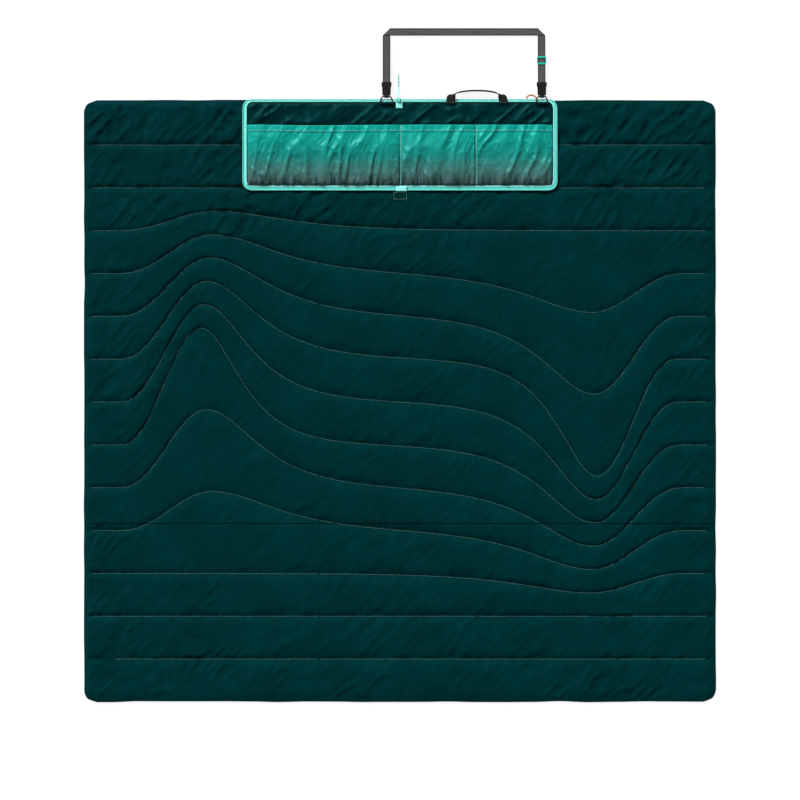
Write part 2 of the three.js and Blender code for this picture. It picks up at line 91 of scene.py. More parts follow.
def ripple(x, y, cell, seed):
    """Smooth random heights from -1 to 1, about one bump to a cell."""
    size = 64
    table = np.random.default_rng(seed).uniform(-1, 1, (size, size))
    u, v = x / cell + 17.3, y / cell + 31.7
    i, j = np.floor(u).astype(int), np.floor(v).astype(int)
    f, g = smooth(0, 1, u - i), smooth(0, 1, v - j)
    near = table[i % size, j % size] * (1 - f) + table[(i + 1) % size, j % size] * f
    far = table[i % size, (j + 1) % size] * (1 - f) + table[(i + 1) % size, (j + 1) % size] * f
    return near * (1 - g) + far * g


def cubic(net, at):
    """A net of points read along its first axis at fractional rows, on a smooth curve."""
    last = len(net) - 1
    i = np.clip(np.floor(at).astype(int), 0, last - 1)
    t = (at - i).reshape(-1, *[1] * (net.ndim - 1))
    a, b = net[np.maximum(i - 1, 0)], net[i]
    c, d = net[i + 1], net[np.minimum(i + 2, last)]
    return b + 0.5 * t * (c - a + t * (2 * a - 5 * b + 4 * c - d + t * (3 * (b - c) + d - a)))


def smooth_path(points, step):
    """A smooth curve through points, with a point about every step."""
    points = np.asarray(points, float)
    fine = cubic(points, np.linspace(0, len(points) - 1, 40 * len(points)))
    return even_path(fine, step)


def distances(points):
    """How far along a path each of its points lies."""
    return np.concatenate([[0], np.cumsum(np.linalg.norm(np.diff(points, axis=0), axis=1))])


def points_at(places, along, path):
    """The points of a path that lie at the given distances along it."""
    return np.stack([np.interp(places, along, path[:, k]) for k in range(3)], 1)


def even_path(points, step):
    """The same path with evenly spaced points, about step apart."""
    along = distances(points)
    count = max(2, int(round(along[-1] / step)) + 1)
    return points_at(np.linspace(0, along[-1], count), along, points)


def rectangle_sides(x_low, x_high, y_low, y_high, z):
    """The four sides of a level rectangle, each as a path for a row of stitches."""
    corners = [(x_low, y_low, z), (x_high, y_low, z), (x_high, y_high, z), (x_low, y_high, z)]
    outline = np.array([*corners, corners[0]])
    return [even_path(outline[k : k + 2], 2 * MM) for k in range(4)]


def plane_uv(u, v):
    """UV for every corner of a net whose columns lie at u and rows at v, in metres."""
    return np.stack(np.meshgrid(u, v), -1)


def net_faces(rows, cols, uv, wrap_rows=False, wrap_cols=False):
    """The quads of a net of points, and the UV of each quad's corners."""
    r, c = np.meshgrid(
        np.arange(rows if wrap_rows else rows - 1),
        np.arange(cols if wrap_cols else cols - 1),
        indexing="ij",
    )
    r2, c2 = (r + 1) % rows, (c + 1) % cols
    quads = np.stack([r * cols + c, r * cols + c2, r2 * cols + c2, r2 * cols + c], -1)
    corners = np.stack([uv[r, c], uv[r, c + 1], uv[r + 1, c + 1], uv[r + 1, c]], -2)
    return quads.reshape(-1, 4), corners.reshape(-1, 4, 2)


def piece(name, points, faces, corners, look, outward=True):
    """A smooth mesh object with one UV pair for each face corner."""
    mesh = bpy.data.meshes.new(name)
    mesh.from_pydata(points.reshape(-1, 3).tolist(), [], [list(map(int, f)) for f in faces])
    layer = mesh.uv_layers.new(name="UVMap")
    layer.data.foreach_set("uv", np.concatenate([np.asarray(c).ravel() for c in corners]))
    mesh.shade_smooth()
    made = bpy.data.objects.new(name, mesh)
    bpy.context.collection.objects.link(made)
    mesh.materials.append(look)
    if outward:
        face_outward(mesh)
    return made


def face_outward(mesh):
    work = bmesh.new()
    work.from_mesh(mesh)
    bmesh.ops.recalc_face_normals(work, faces=work.faces)
    work.to_mesh(mesh)
    work.free()


def slab(name, top, bottom, uv, look):
    """A closed sheet between two nets of points that match row by row."""
    rows, cols = top.shape[:2]
    ring = np.concatenate([top, bottom[:, ::-1]], axis=1)
    ring_uv = np.concatenate([uv, uv[:, ::-1], uv[:, :1]], axis=1)
    quads, corners = net_faces(rows, 2 * cols, ring_uv, wrap_cols=True)
    faces, uvs = list(quads), list(corners)
    for row in (0, rows - 1):
        for c in range(cols - 1):
            base = row * 2 * cols
            faces.append([base + c, base + c + 1, base + 2 * cols - 2 - c, base + 2 * cols - 1 - c])
            uvs.append([uv[row, c], uv[row, c + 1], uv[row, c + 1], uv[row, c]])
    return piece(name, ring, faces, uvs, look)


def sweep(name, path, section, normals, look, closed=False, scale=None):
    """A closed solid: section, as pairs (across, up), carried along a path with up on normals."""
    path = np.asarray(path, float)
    if closed:
        tangents = unit(np.roll(path, -1, 0) - np.roll(path, 1, 0))
    else:
        tangents = unit(np.gradient(path, axis=0))
    normals = unit(normals - (normals * tangents).sum(1, keepdims=True) * tangents)
    across = np.cross(tangents, normals)
    size = np.ones(len(path)) if scale is None else scale
    offsets = section[None, :, :1] * across[:, None] + section[None, :, 1:] * normals[:, None]
    points = path[:, None] + size[:, None, None] * offsets
    around = np.linalg.norm(np.diff(section, axis=0, append=section[:1]), axis=1)
    u = np.concatenate([[0], np.cumsum(around)])
    steps = np.linalg.norm(np.diff(path, axis=0, append=path[:1]), axis=1)
    v = np.concatenate([[0], np.cumsum(steps)])[: len(path) + (1 if closed else 0)]
    rows, cols = points.shape[:2]
    quads, corners = net_faces(rows, cols, plane_uv(u, v), closed, True)
    faces, uvs = list(quads), list(corners)
    if not closed:
        for row in (0, rows - 1):
            faces.append(list(range(row * cols, row * cols + cols)))
            uvs.append(section)
    return piece(name, points, faces, uvs, look)


def carried(path, first):
    """Directions across a path that start near first and never twist about it."""
    tangents = unit(np.gradient(np.asarray(path, float), axis=0))
    out = [np.asarray(first, float)]
    for tangent in tangents:
        here = out[-1] - np.dot(out[-1], tangent) * tangent
        out.append(here / np.linalg.norm(here))
    return np.array(out[1:])


def circle(radius, sides):
    turn = np.arange(sides) * 2 * math.pi / sides
    return radius * np.stack([np.cos(turn), np.sin(turn)], 1)


def ribbon(width, thick, across=6):
    """The section of flat webbing with round edges."""
    half, r = width / 2, thick / 2
    flat = np.linspace(-half + r, half - r, across)
    top = [(x, r) for x in flat[::-1]]
    bottom = [(x, -r) for x in flat]
    return np.array([*top, (-half, 0), *bottom, (half, 0)])


def tube(name, path, radius, look, sides=10, scale=None):
    return sweep(name, path, circle(radius, sides), carried(path, (0, 0.3, 1)), look, scale=scale)


# ---- materials ----

def srgb(r, g, b):
    """A colour given on the usual 0-255 scale, as the linear one that shaders use."""
    def part(c):
        c /= 255
        return c / 12.92 if c <= 0.04045 else ((c + 0.055) / 1.055) ** 2.4
    return (part(r), part(g), part(b), 1)


class Look:
    """One procedural material, with short ways to add its nodes. UV is in metres."""

    def __init__(self, name, roughness, gloss, metallic=0.0, sheen=0.0, sheen_colour=None):
        self.material = bpy.data.materials.new(name)
        self.material.use_nodes = True
        self.tree = self.material.node_tree
        self.shader = self.tree.nodes["Principled BSDF"]
        self.set("Roughness", roughness)
        self.set("Specular IOR Level", gloss)
        self.set("Metallic", metallic)
        self.set("Sheen Weight", sheen)
        self.set("Sheen Roughness", 0.45)
        if sheen_colour:
            self.set("Sheen Tint", sheen_colour)
            self.set("Specular Tint", sheen_colour)
        self.height = None

    def set(self, socket, value):
        self.shader.inputs[socket].default_value = value

    def node(self, kind, **settings):
        made = self.tree.nodes.new(kind)
        for key, value in settings.items():
            setattr(made, key, value)
        return made

    def feed(self, socket, value):
        if isinstance(value, bpy.types.NodeSocket):
            self.tree.links.new(value, socket)
        else:
            socket.default_value = value

    def uv(self, u_scale=1.0, v_scale=1.0):
        """The surface's own UV, stretched."""
        place = self.node("ShaderNodeTexCoord").outputs["UV"]
        stretch = self.node("ShaderNodeMapping")
        self.feed(stretch.inputs["Vector"], place)
        self.feed(stretch.inputs["Scale"], (u_scale, v_scale, 1))
        return stretch.outputs["Vector"]

    def axis(self, which):
        split = self.node("ShaderNodeSeparateXYZ")
        self.feed(split.inputs[0], self.uv())
        return split.outputs[which]

    def maths(self, operation, a, b=0.0, c=0.0):
        made = self.node("ShaderNodeMath", operation=operation)
        for socket, value in zip(made.inputs, (a, b, c)):
            self.feed(socket, value)
        return made.outputs[0]

    def noise(self, scale, detail=2.0, u_scale=1.0, v_scale=1.0):
        made = self.node("ShaderNodeTexNoise")
        self.feed(made.inputs["Vector"], self.uv(u_scale, v_scale))
        self.feed(made.inputs["Scale"], scale)
        self.feed(made.inputs["Detail"], detail)
        return made.outputs["Fac"]

    def span(self, value, low, high, to_low=0.0, to_high=1.0):
        made = self.node("ShaderNodeMapRange", interpolation_type="SMOOTHSTEP")
        for socket, given in zip(made.inputs, (value, low, high, to_low, to_high)):
            self.feed(socket, given)
        return made.outputs[0]

    def mix(self, factor, a, b, blend="MIX"):
        made = self.node("ShaderNodeMix", data_type="RGBA", blend_type=blend)
        self.feed(made.inputs["Factor"], factor)
        self.feed(made.inputs["A"], a)
        self.feed(made.inputs["B"], b)
        return made.outputs["Result"]

    def sine(self, value, pitch):
        return self.maths("SINE", self.maths("MULTIPLY", value, 2 * math.pi / pitch))

    def crossings(self, one, other):
        """0 to 1, from two sines: a small hill wherever their threads cross."""
        return self.maths("MULTIPLY_ADD", self.maths("MULTIPLY", one, other), 0.5, 0.5)

    def waves(self, pitch_u, pitch_v):
        """Threads over and under: a small hill at each crossing."""
        return self.crossings(self.sine(self.axis(0), pitch_u), self.sine(self.axis(1), pitch_v))

    def ridges(self, which, pitch):
        return self.maths("MULTIPLY_ADD", self.sine(self.axis(which), pitch), 0.5, 0.5)

    def colour(self, value):
        self.feed(self.shader.inputs["Base Color"], value)

    def bump(self, height, distance, strength=1.0):
        made = self.node("ShaderNodeBump")
        self.feed(made.inputs["Height"], height)
        self.feed(made.inputs["Distance"], distance)
        self.feed(made.inputs["Strength"], strength)
        if self.height is not None:
            self.feed(made.inputs["Normal"], self.height)
        self.height = made.outputs["Normal"]
        self.feed(self.shader.inputs["Normal"], self.height)


def shade(colour, factor):
    return (colour[0] * factor, colour[1] * factor, colour[2] * factor, 1)


def woven(look, colour, pitch, depth, patchy, patch=9.0):
    """A plain weave with broad, soft changes of shade and finer flecks."""
    weave = look.waves(pitch, pitch)
    broad = look.span(look.noise(patch, 3), 0.3, 0.7)
    tone = look.mix(broad, shade(colour, 1 - patchy), shade(colour, 1 + patchy))
    flecks = look.span(look.noise(420, 2), 0.35, 0.65, 0.0, 0.35)
    tone = look.mix(flecks, tone, shade(colour, 0.72))
    look.colour(look.mix(look.maths("MULTIPLY", weave, 0.18), tone, shade(colour, 1.35)))
    look.bump(look.noise(160, 3), 0.0003, 0.5)
    look.bump(weave, depth, 0.5)


def webbing(look, colour, pitch=1.6 * MM, depth=0.35 * MM):
    """Ribs across the webbing, each made of slanted threads, and painted shade that darkens it towards both
    edges. U runs across it.
    """
    ribs = look.ridges(1, pitch)
    threads = look.ridges(0, 0.9 * MM)
    both = look.maths("MULTIPLY_ADD", threads, 0.4, look.maths("MULTIPLY", ribs, 0.6))
    fade = look.span(look.noise(320, 3, 1.0, 0.06), 0.35, 0.7)
    tone = look.mix(both, shade(colour, 0.5), shade(colour, 1.25))
    tone = look.mix(look.maths("MULTIPLY", fade, 0.6), tone, shade(colour, 1.5))
    # Painted shade: the colour darkens from 4 mm off the middle out to each edge, where the webbing turns
    # away from the light.
    shade_off_centre = look.maths("ABSOLUTE", look.maths("SUBTRACT", look.axis(0), 9.5 * MM))
    edge = look.span(shade_off_centre, 4 * MM, 8.8 * MM, 0.0, 0.75)
    look.colour(look.mix(edge, tone, shade(colour, 0.45)))
    look.bump(both, depth, 0.9)


def plastic(look, colour, grain=900.0):
    """Moulded plastic: fine grain, a little dust and scuffed edges."""
    dust = look.span(look.noise(90, 4), 0.45, 0.8, 0.0, 0.35)
    wear = look.node("ShaderNodeNewGeometry").outputs["Pointiness"]
    edge = look.span(wear, 0.52, 0.62, 0.0, 0.6)
    tone = look.mix(dust, colour, shade(colour, 1.6))
    look.colour(look.mix(edge, tone, shade(colour, 2.2)))
    look.bump(look.noise(grain, 2), 0.00005, 0.4)


def braid(look, colour, dark, pitch=2.4 * MM, spots=0.0):
    """Braided cord: slanted strands, with darker flecks between."""
    strands = look.sine(look.maths("ADD", look.axis(0), look.axis(1)), pitch)
    other = look.sine(look.maths("SUBTRACT", look.axis(0), look.axis(1)), pitch)
    height = look.crossings(strands, other)
    fleck = look.span(height, 0.0, 0.45, 1.0, 0.0)
    tone = look.mix(look.maths("MULTIPLY", fleck, 0.7), colour, dark)
    if spots:
        patches = look.span(look.noise(spots, 1), 0.56, 0.62)
        tone = look.mix(look.maths("MULTIPLY", patches, 0.75), tone, dark)
    look.colour(tone)
    look.bump(height, 0.25 * MM, 0.9)


TEAL = srgb(1, 47, 49)
NIGHT = srgb(1, 42, 44)
AQUA = srgb(138, 248, 238)
BRIGHT_AQUA = srgb(154, 252, 246)
DEEP_AQUA = srgb(112, 238, 226)


def seam_shadow(look, tone, y, half):
    """Darkens a straight seam that runs across the mat at height y."""
    off = look.maths("ABSOLUTE", look.maths("SUBTRACT", look.axis(1), y))
    return look.mix(look.span(off, half, 2.2 * half, 0.8, 0.0), tone, srgb(0, 16, 18))


SHELL_SEAM_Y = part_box("top_shell_right")[0].y * 0.4063


def top_cloth():
    look = Look("top_cloth", 0.62, 0.07, sheen=0.05, sheen_colour=srgb(2, 120, 122))
    woven(look, TEAL, 0.8 * MM, 0.12 * MM, 0.14)
    look.bump(look.noise(48, 4), 3.2 * MM, 0.6)
    tone = look.shader.inputs["Base Color"].links[0].from_socket
    look.colour(seam_shadow(look, tone, SHELL_SEAM_Y, 0.9 * MM))
    return look.material


def back_cloth():
    look = Look("back_cloth", 0.5, 0.3)
    woven(look, srgb(20, 40, 43), 1.4 * MM, 0.2 * MM, 0.12)
    return look.material


def panel_cloth():
    look = Look("panel_cloth", 0.42, 0.3, sheen=0.08, sheen_colour=srgb(10, 150, 150))
    woven(look, NIGHT, 0.9 * MM, 0.12 * MM, 0.15, 22)
    look.bump(look.noise(70, 3), 1.2 * MM, 0.5)
    return look.material


POCKET_TOP = srgb(8, 164, 150)
POCKET_MIDDLE = srgb(14, 136, 126)
POCKET_LOW = srgb(62, 112, 108)
# The foot's grey cloth, darkened further by painted shade.
POCKET_FOOT_GREY_AND_SHADE = srgb(72, 88, 88)


def pocket_cloth():
    """Thin shiny ripstop, aqua at the mouth and grey at the foot, with painted shade darkening the foot and
    the gathers near it. V runs 0 to 1 up the pocket.
    """
    look = Look("pocket_cloth", 0.42, 0.6, sheen=0.1, sheen_colour=srgb(120, 200, 194))
    height = look.maths("MULTIPLY_ADD", look.noise(30, 2), 0.16, look.maths("SUBTRACT", look.axis(1), 0.08))
    tone = look.mix(look.span(height, 0.02, 0.26), POCKET_FOOT_GREY_AND_SHADE, POCKET_LOW)
    tone = look.mix(look.span(height, 0.2, 0.56), tone, POCKET_MIDDLE)
    tone = look.mix(look.span(height, 0.5, 0.92), tone, POCKET_TOP)
    # Painted shade: dark upright streaks in the creases of the gathers, fading out up from the foot.
    gather_shade = look.span(look.noise(75, 2, 1.0, 0.012), 0.42, 0.56, 0.85, 0.0)
    foot_shade_reach = look.span(look.axis(1), 0.02, 0.3, 1.0, 0.0)
    tone = look.mix(look.maths("MULTIPLY", gather_shade, foot_shade_reach), tone, srgb(8, 40, 42))
    look.colour(tone)
    grid_u = look.maths("PINGPONG", look.axis(0), 2.5 * MM)
    look.bump(look.span(grid_u, 0.0, 0.25 * MM, 1.0, 0.0), 0.05 * MM, 0.4)
    look.bump(look.noise(150, 3, 1.0, 0.16), 0.9 * MM, 0.5)
    return look.material


def tape_cloth(name, colour, rib):
    look = Look(name, 0.55, 0.3)
    ribs = look.maths("MULTIPLY", look.ridges(0, rib), look.ridges(1, 0.7 * MM))
    tone = look.mix(ribs, shade(colour, 0.95), shade(colour, 1.12))
    patch = look.span(look.noise(70, 3), 0.4, 0.7, 0.0, 0.25)
    look.colour(look.mix(patch, tone, shade(colour, 0.85)))
    look.bump(ribs, 0.15 * MM, 0.7)
    return look.material


def thread_look(name, colour):
    look = Look(name, 0.6, 0.2)
    twist = look.ridges(1, 0.8 * MM)
    look.colour(look.mix(twist, shade(colour, 0.6), shade(colour, 1.15)))
    look.bump(twist, 0.1 * MM, 0.8)
    return look.material


def web_look(name, colour):
    look = Look(name, 0.7, 0.08)
    webbing(look, colour)
    return look.material


def plastic_look(name, colour, roughness, gloss):
    look = Look(name, roughness, gloss)
    plastic(look, colour)
    return look.material


def metal_look(name, colour, roughness, metallic):
    look = Look(name, roughness, 0.5, metallic=metallic)
    chips = look.span(look.noise(700, 3), 0.62, 0.7)
    look.colour(look.mix(chips, colour, shade(colour, 0.45)))
    look.bump(look.noise(1200, 2), 0.00003, 0.3)
    return look.material


def cord_look(name, colour, dark, spots=0.0):
    look = Look(name, 0.6, 0.25)
    braid(look, colour, dark, spots=spots)
    return look.material


FLOOR_GLOW = 0.9


def floor_look():
    """A pale sheet, lit from below like a light table."""
    look = Look("floor", 0.9, 0.1)
    grain = look.span(look.noise(3, 2), 0.3, 0.7)
    look.colour(look.mix(grain, (0.12, 0.12, 0.12, 1), (0.14, 0.14, 0.14, 1)))
    look.set("Emission Color", (1, 1, 1, 1))
    look.set("Emission Strength", FLOOR_GLOW)
    return look.material


LOOKS = {
    "top_cloth": top_cloth(),
    "back_cloth": back_cloth(),
    "panel_cloth": panel_cloth(),
    "pocket_cloth": pocket_cloth(),
    "zip_tape": tape_cloth("zip_tape", DEEP_AQUA, 2.2 * MM),
    "zip_bright": tape_cloth("zip_bright", BRIGHT_AQUA, 1.7 * MM),
    "zip_coil": tape_cloth("zip_coil", AQUA, 1.2 * MM),
    "divider_tape": tape_cloth("divider_tape", srgb(84, 176, 168), 1.4 * MM),
    "mat_thread": thread_look("mat_thread", srgb(120, 160, 158)),
    "pale_thread": thread_look("pale_thread", srgb(176, 216, 210)),
    "strap_web": web_look("strap_web", srgb(86, 86, 87)),
    "black_web": web_look("black_web", srgb(34, 32, 33)),
    "pull_cord": cord_look("pull_cord", srgb(150, 248, 238), srgb(70, 160, 156)),
    "pull_grip": cord_look("pull_grip", srgb(150, 248, 238), srgb(30, 110, 112), 260),
    "tan_cord": cord_look("tan_cord", srgb(196, 146, 84), srgb(116, 78, 40)),
    "clip_plastic": plastic_look("clip_plastic", srgb(16, 16, 17), 0.42, 0.22),
    "adjuster_plastic": plastic_look("adjuster_plastic", srgb(18, 180, 160), 0.32, 0.5),
    "slider_metal": metal_look("slider_metal", srgb(120, 226, 212), 0.4, 0.3),
    "ring_wire": metal_look("ring_wire", srgb(52, 36, 30), 0.42, 0.7),
}


def finished(made, nodes=()):
    """Hides the CAD nodes that a piece stands for, and hands the piece back."""
    if nodes:
        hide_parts(*nodes)
    return made


# ---- cords ----

def middle(node):
    low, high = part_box(node)
    return (low + high) / 2


# The cords' routes are in millimetres. The pull cord turns round the bar of the slider's bail.
SLIDER_X = middle("zip_slider").x / MM
BAIL_Y = 747.5
BAIL_Z = 20.6

CORD_DIAMETER = 1.6 * MM
TURN_RADIUS = 2.5
TURN_SPREAD = 4.6
EASING_PASSES = 40
UPPER_STRAND = [
    (SLIDER_X + 1.2, 782.5, 3.5),
    (SLIDER_X + 2, 773, 7.6),
    (SLIDER_X + 2.3, 764, 13.2),
    (SLIDER_X + 2.35, 757, 18),
    (SLIDER_X + 2.5, 752.6, 21),
    (SLIDER_X + 2.4, BAIL_Y + 2.4, BAIL_Z + 2.3),
]
LOWER_STRAND = [
    (SLIDER_X - 2.4, BAIL_Y + 2.4, BAIL_Z - 2.25),
    (SLIDER_X - 2.5, 752.6, 18.5),
    (SLIDER_X - 2.3, 757.4, 17.1),
    (SLIDER_X - 2.3, 764, 12.2),
    (SLIDER_X - 2, 773, 6.6),
    (SLIDER_X - 1.2, 782.5, 3.1),
]
LOOP_DIAMETER = 4 * MM
LOOP_ROUTE = [
    (315.5, 750.3, 7.9),
    (315.8, 756, 6.3),
    (319, 760.6, 4.5),
    (327, 763, 3.5),
    (335, 760.6, 4.5),
    (338.2, 756, 6.3),
    (338.5, 750.3, 7.9),
]
GRIP_KNOTS = 4


def pull_cord_path():
    """Up one strand, half a turn round the bail's bar and back down the other strand. The turn
    moves along the bar as it goes round, which keeps the bend at about two cord diameters."""
    turned = np.linspace(0, math.pi, 5)
    turn = np.stack([
        SLIDER_X + TURN_SPREAD * (0.5 - turned / math.pi),
        BAIL_Y - TURN_RADIUS * np.sin(turned),
        BAIL_Z + TURN_RADIUS * np.cos(turned),
    ], 1)
    path = smooth_path(np.concatenate([UPPER_STRAND, turn, LOWER_STRAND]) * MM, 0.25 * MM)
    for _ in range(EASING_PASSES):
        path[1:-1] = (path[:-2] + 2 * path[1:-1] + path[2:]) / 4
    return even_path(path, 1 * MM)


def make_cords():
    grip_low, grip_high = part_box("pull_grip")
    start = np.array([SLIDER_X * MM, grip_low.y, 3.3 * MM])
    end = np.array([SLIDER_X * MM, grip_high.y, 2.7 * MM])
    grip_path = start + np.linspace(0, 1, 81)[:, None] * (end - start)
    along = np.linspace(0, 1, 81)
    swell = 0.55 + 0.25 * np.abs(np.sin(GRIP_KNOTS * math.pi * along)) ** 0.6
    swell *= np.minimum(1, 0.35 + 12 * np.minimum(along, 1 - along))
    grip = tube("pull_grip_knots", grip_path, 2.4 * MM, LOOKS["pull_grip"], 14, swell)
    finished(grip, ["pull_grip"])
    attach(grip, "pull")

    pull_path = pull_cord_path()
    pull = tube("pull_cord_strands", pull_path, CORD_DIAMETER / 2, LOOKS["pull_cord"], 10)
    finished(pull, ["pull_cord"])
    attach(pull, "pull")

    loop_path = smooth_path(np.array(LOOP_ROUTE) * MM, 1.5 * MM)
    loop = tube("side_loop", loop_path, LOOP_DIAMETER / 2, LOOKS["tan_cord"], 14)
    finished(loop, ["cord_loop"])
    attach(loop, "right_half")


make_cords()


# ---- cloth simulation ----

def settle(cloth_piece, pinned, slack, frames, lift, stiffness=15, bending=0.4):
    """Blender's cloth lets a net of slack fabric fill upwards between pinned points, and keeps the result.
    slack holds the spare length at each point, as a share of the cloth's size."""
    scene = bpy.context.scene
    scene.gravity = (0, 0, lift)
    pins = cloth_piece.vertex_groups.new(name="pins")
    pins.add([int(i) for i in np.flatnonzero(pinned)], 1.0, "REPLACE")
    spare = cloth_piece.vertex_groups.new(name="spare")
    most = float(slack.max())
    for level in np.unique(np.round(slack / most, 1)):
        chosen = np.flatnonzero(np.round(slack / most, 1) == level)
        spare.add([int(i) for i in chosen], float(level), "REPLACE")
    modifier = cloth_piece.modifiers.new("cloth", "CLOTH")
    settings = modifier.settings
    settings.quality = 4
    settings.mass = 0.12
    settings.tension_stiffness = stiffness
    settings.compression_stiffness = stiffness
    settings.shear_stiffness = 3
    settings.bending_stiffness = bending
    settings.air_damping = 4
    settings.vertex_group_mass = "pins"
    settings.vertex_group_shrink = "spare"
    settings.shrink_min = 0.0
    settings.shrink_max = -most
    modifier.collision_settings.use_collision = False
    for number in range(1, frames + 1):
        scene.frame_set(number)
    settled = cloth_piece.evaluated_get(bpy.context.evaluated_depsgraph_get())
    points = np.empty(3 * len(cloth_piece.data.vertices))
    settled.data.vertices.foreach_get("co", points)
    scene.frame_set(1)
    scene.gravity = (0, 0, -9.81)
    data = cloth_piece.data
    bpy.data.objects.remove(cloth_piece)
    bpy.data.meshes.remove(data)
    return points.reshape(-1, 3)


def settle_net(net, pinned, slack, frames, lift, **settings):
    rows, cols = net.shape[:2]
    uv = np.zeros((rows, cols, 2))
    quads, corners = net_faces(rows, cols, uv)
    rough = piece("cloth_net", net, quads, corners, LOOKS["top_cloth"], outward=False)
    return settle(rough, pinned.ravel(), slack.ravel(), frames, lift, **settings).reshape(net.shape)


# ---- the quilt ----

MAT_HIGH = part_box("top_shell_side_right")[1]
MAT_HALF_X = MAT_HIGH.x
MAT_HALF_Y = MAT_HIGH.y
CORNER = 32 * MM
PANEL_LOW, PANEL_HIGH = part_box("zip_teeth_right")
PANEL_HALF_X = PANEL_HIGH.x

LINES = 13
FIRST_LINE_Y = 638 * MM
LINE_PITCH = 106.8 * MM
LINE_LEFT_X = -770 * MM
LINE_RIGHT_X = 764 * MM
LAST_LINE_LEFT_X = -708 * MM
BUMP_STEP = 48.6 * MM
# How many steps each stitch line rises on the left and dips on the right, by its number from the top.
LEFT_RISES = {2: 1, 3: 2, 4: 3, 5: 4, 6: 5, 7: 6, 8: 4, 9: 2}
RIGHT_DIPS = {3: 2, 4: 4, 5: 6, 6: 5, 7: 4, 8: 3, 9: 2, 10: 1}
TALLEST = 6

CELL = 7.5 * MM
STITCH_Z = 6.4 * MM
CREST = 6.2 * MM
EDGE_Z = 4.6 * MM
TOP_CEILING = 16 * MM
SIDE_CEILING = 13.1 * MM
SIDE_EASE_X = 330 * MM
LEAST_HEIGHT = 3.2 * MM
SIDE_FOLD = (393 * MM, 399 * MM)
BOOK_FOLD = (-15.5 * MM, -9.5 * MM)
CUT_X = 198 * MM


def bell(x, peak, inward, steps):
    """A wave that climbs quickly on its outer side and tails away towards the mat's middle."""
    tail = (85 + 13 * (TALLEST - steps)) * MM
    reach = (200 + 8 * (TALLEST - steps)) * MM
    d = (x - peak) * inward
    inner = 1 / np.cosh(np.maximum(d, 0) / tail)
    outer = (0.5 + 0.5 * np.cos(math.pi * np.clip(-d / reach, 0, 1))) ** 1.15
    return np.where(d > 0, inner, outer)


def stitch_line(number, x):
    """The Y of one stitch line at each x."""
    y = FIRST_LINE_Y - LINE_PITCH * number + 0 * x
    up = LEFT_RISES.get(number, 0)
    down = RIGHT_DIPS.get(number, 0)
    y = y + BUMP_STEP * up * bell(x, -(455 + 7 * up) * MM, 1, up)
    return y - BUMP_STEP * down * bell(x, (473 + 3 * down) * MM, -1, down)


def half_width(y):
    """Half the mat's width at height y, with its round corners."""
    into = np.clip(np.abs(y) - (MAT_HALF_Y - CORNER), 0, CORNER)
    return MAT_HALF_X - CORNER + np.sqrt(CORNER**2 - into**2)


def quilt_plan():
    """The flat net: columns at even X, rows that run along the stitch lines."""
    x = np.linspace(-MAT_HALF_X, MAT_HALF_X, int(round(2 * MAT_HALF_X / CELL)) + 1)
    edges = [MAT_HALF_Y + 0 * x]
    edges += [stitch_line(k, x) for k in range(LINES)]
    edges += [-MAT_HALF_Y + 0 * x]
    rows, stitched = [edges[0]], []
    for above, below in zip(edges, edges[1:]):
        count = int(round(float(np.mean(above - below)) / CELL))
        for j in range(1, count + 1):
            rows.append(above + (below - above) * j / count)
        stitched.append(len(rows) - 1)
    y = np.array(rows)
    width = half_width(y)
    inner = MAT_HALF_X - 2 * CORNER
    beyond = np.maximum(np.abs(x) - inner, 0) * (width - inner) / (2 * CORNER)
    x = np.sign(x) * (np.minimum(np.abs(x), inner) + beyond)
    return x, y, stitched[:-1]


def on_line(x, number):
    left = LAST_LINE_LEFT_X if number == LINES - 1 else LINE_LEFT_X
    return (x > left) & (x < LINE_RIGHT_X)


def panel_distance(x, y):
    """How far a point lies outside the pocket panel; 0 beneath it."""
    dx = np.maximum(np.abs(x) - PANEL_HALF_X, 0)
    dy = np.maximum(PANEL_LOW.y - y, 0)
    return np.hypot(dx, dy)


def puffed(x, y, stitched):
    """Heights of a quilt that is full between its stitch lines."""
    z = np.zeros_like(y)
    borders = [0, *stitched, len(y) - 1]
    for top, bottom in zip(borders, borders[1:]):
        t = np.linspace(0, 1, bottom - top + 1)[:, None]
        z[top : bottom + 1] = np.maximum(z[top : bottom + 1], (4 * t * (1 - t)) ** 0.55 * CREST)
    rim = np.minimum(half_width(y) - np.abs(x), MAT_HALF_Y - np.abs(y))
    return EDGE_Z + (STITCH_Z - EDGE_Z + z) * smooth(0, 26 * MM, rim) ** 0.7


def quilt_top():
    x, y, stitched = quilt_plan()
    flat = np.stack([x, y], -1)
    z = puffed(x, y, stitched)
    net = np.dstack([flat, z])
    pinned = np.zeros(y.shape, bool)
    pinned[[0, -1]] = True
    pinned[:, [0, -1]] = True
    for number, row in enumerate(stitched):
        pinned[row] |= on_line(x[row], number)
        net[row, :, 2] += 0.5 * MM * ripple(x[row], y[row], 45 * MM, 3)
    net[..., 2] += np.where(pinned, 0, 1.2 * MM * ripple(x, y, 28 * MM, 5))
    near_panel = smooth(360 * MM, 30 * MM, panel_distance(x, y))
    low_rows = smooth(-430 * MM, -640 * MM, y) * smooth(250 * MM, 600 * MM, np.abs(x))
    patches = smooth(-0.5, 0.9, ripple(x, y, 170 * MM, 8))
    slack = 0.012 + 0.022 * near_panel + 0.014 * low_rows + 0.008 * patches
    net = settle_net(net, pinned, slack, 16, 6.0, bending=0.1)
    return net, flat, stitched


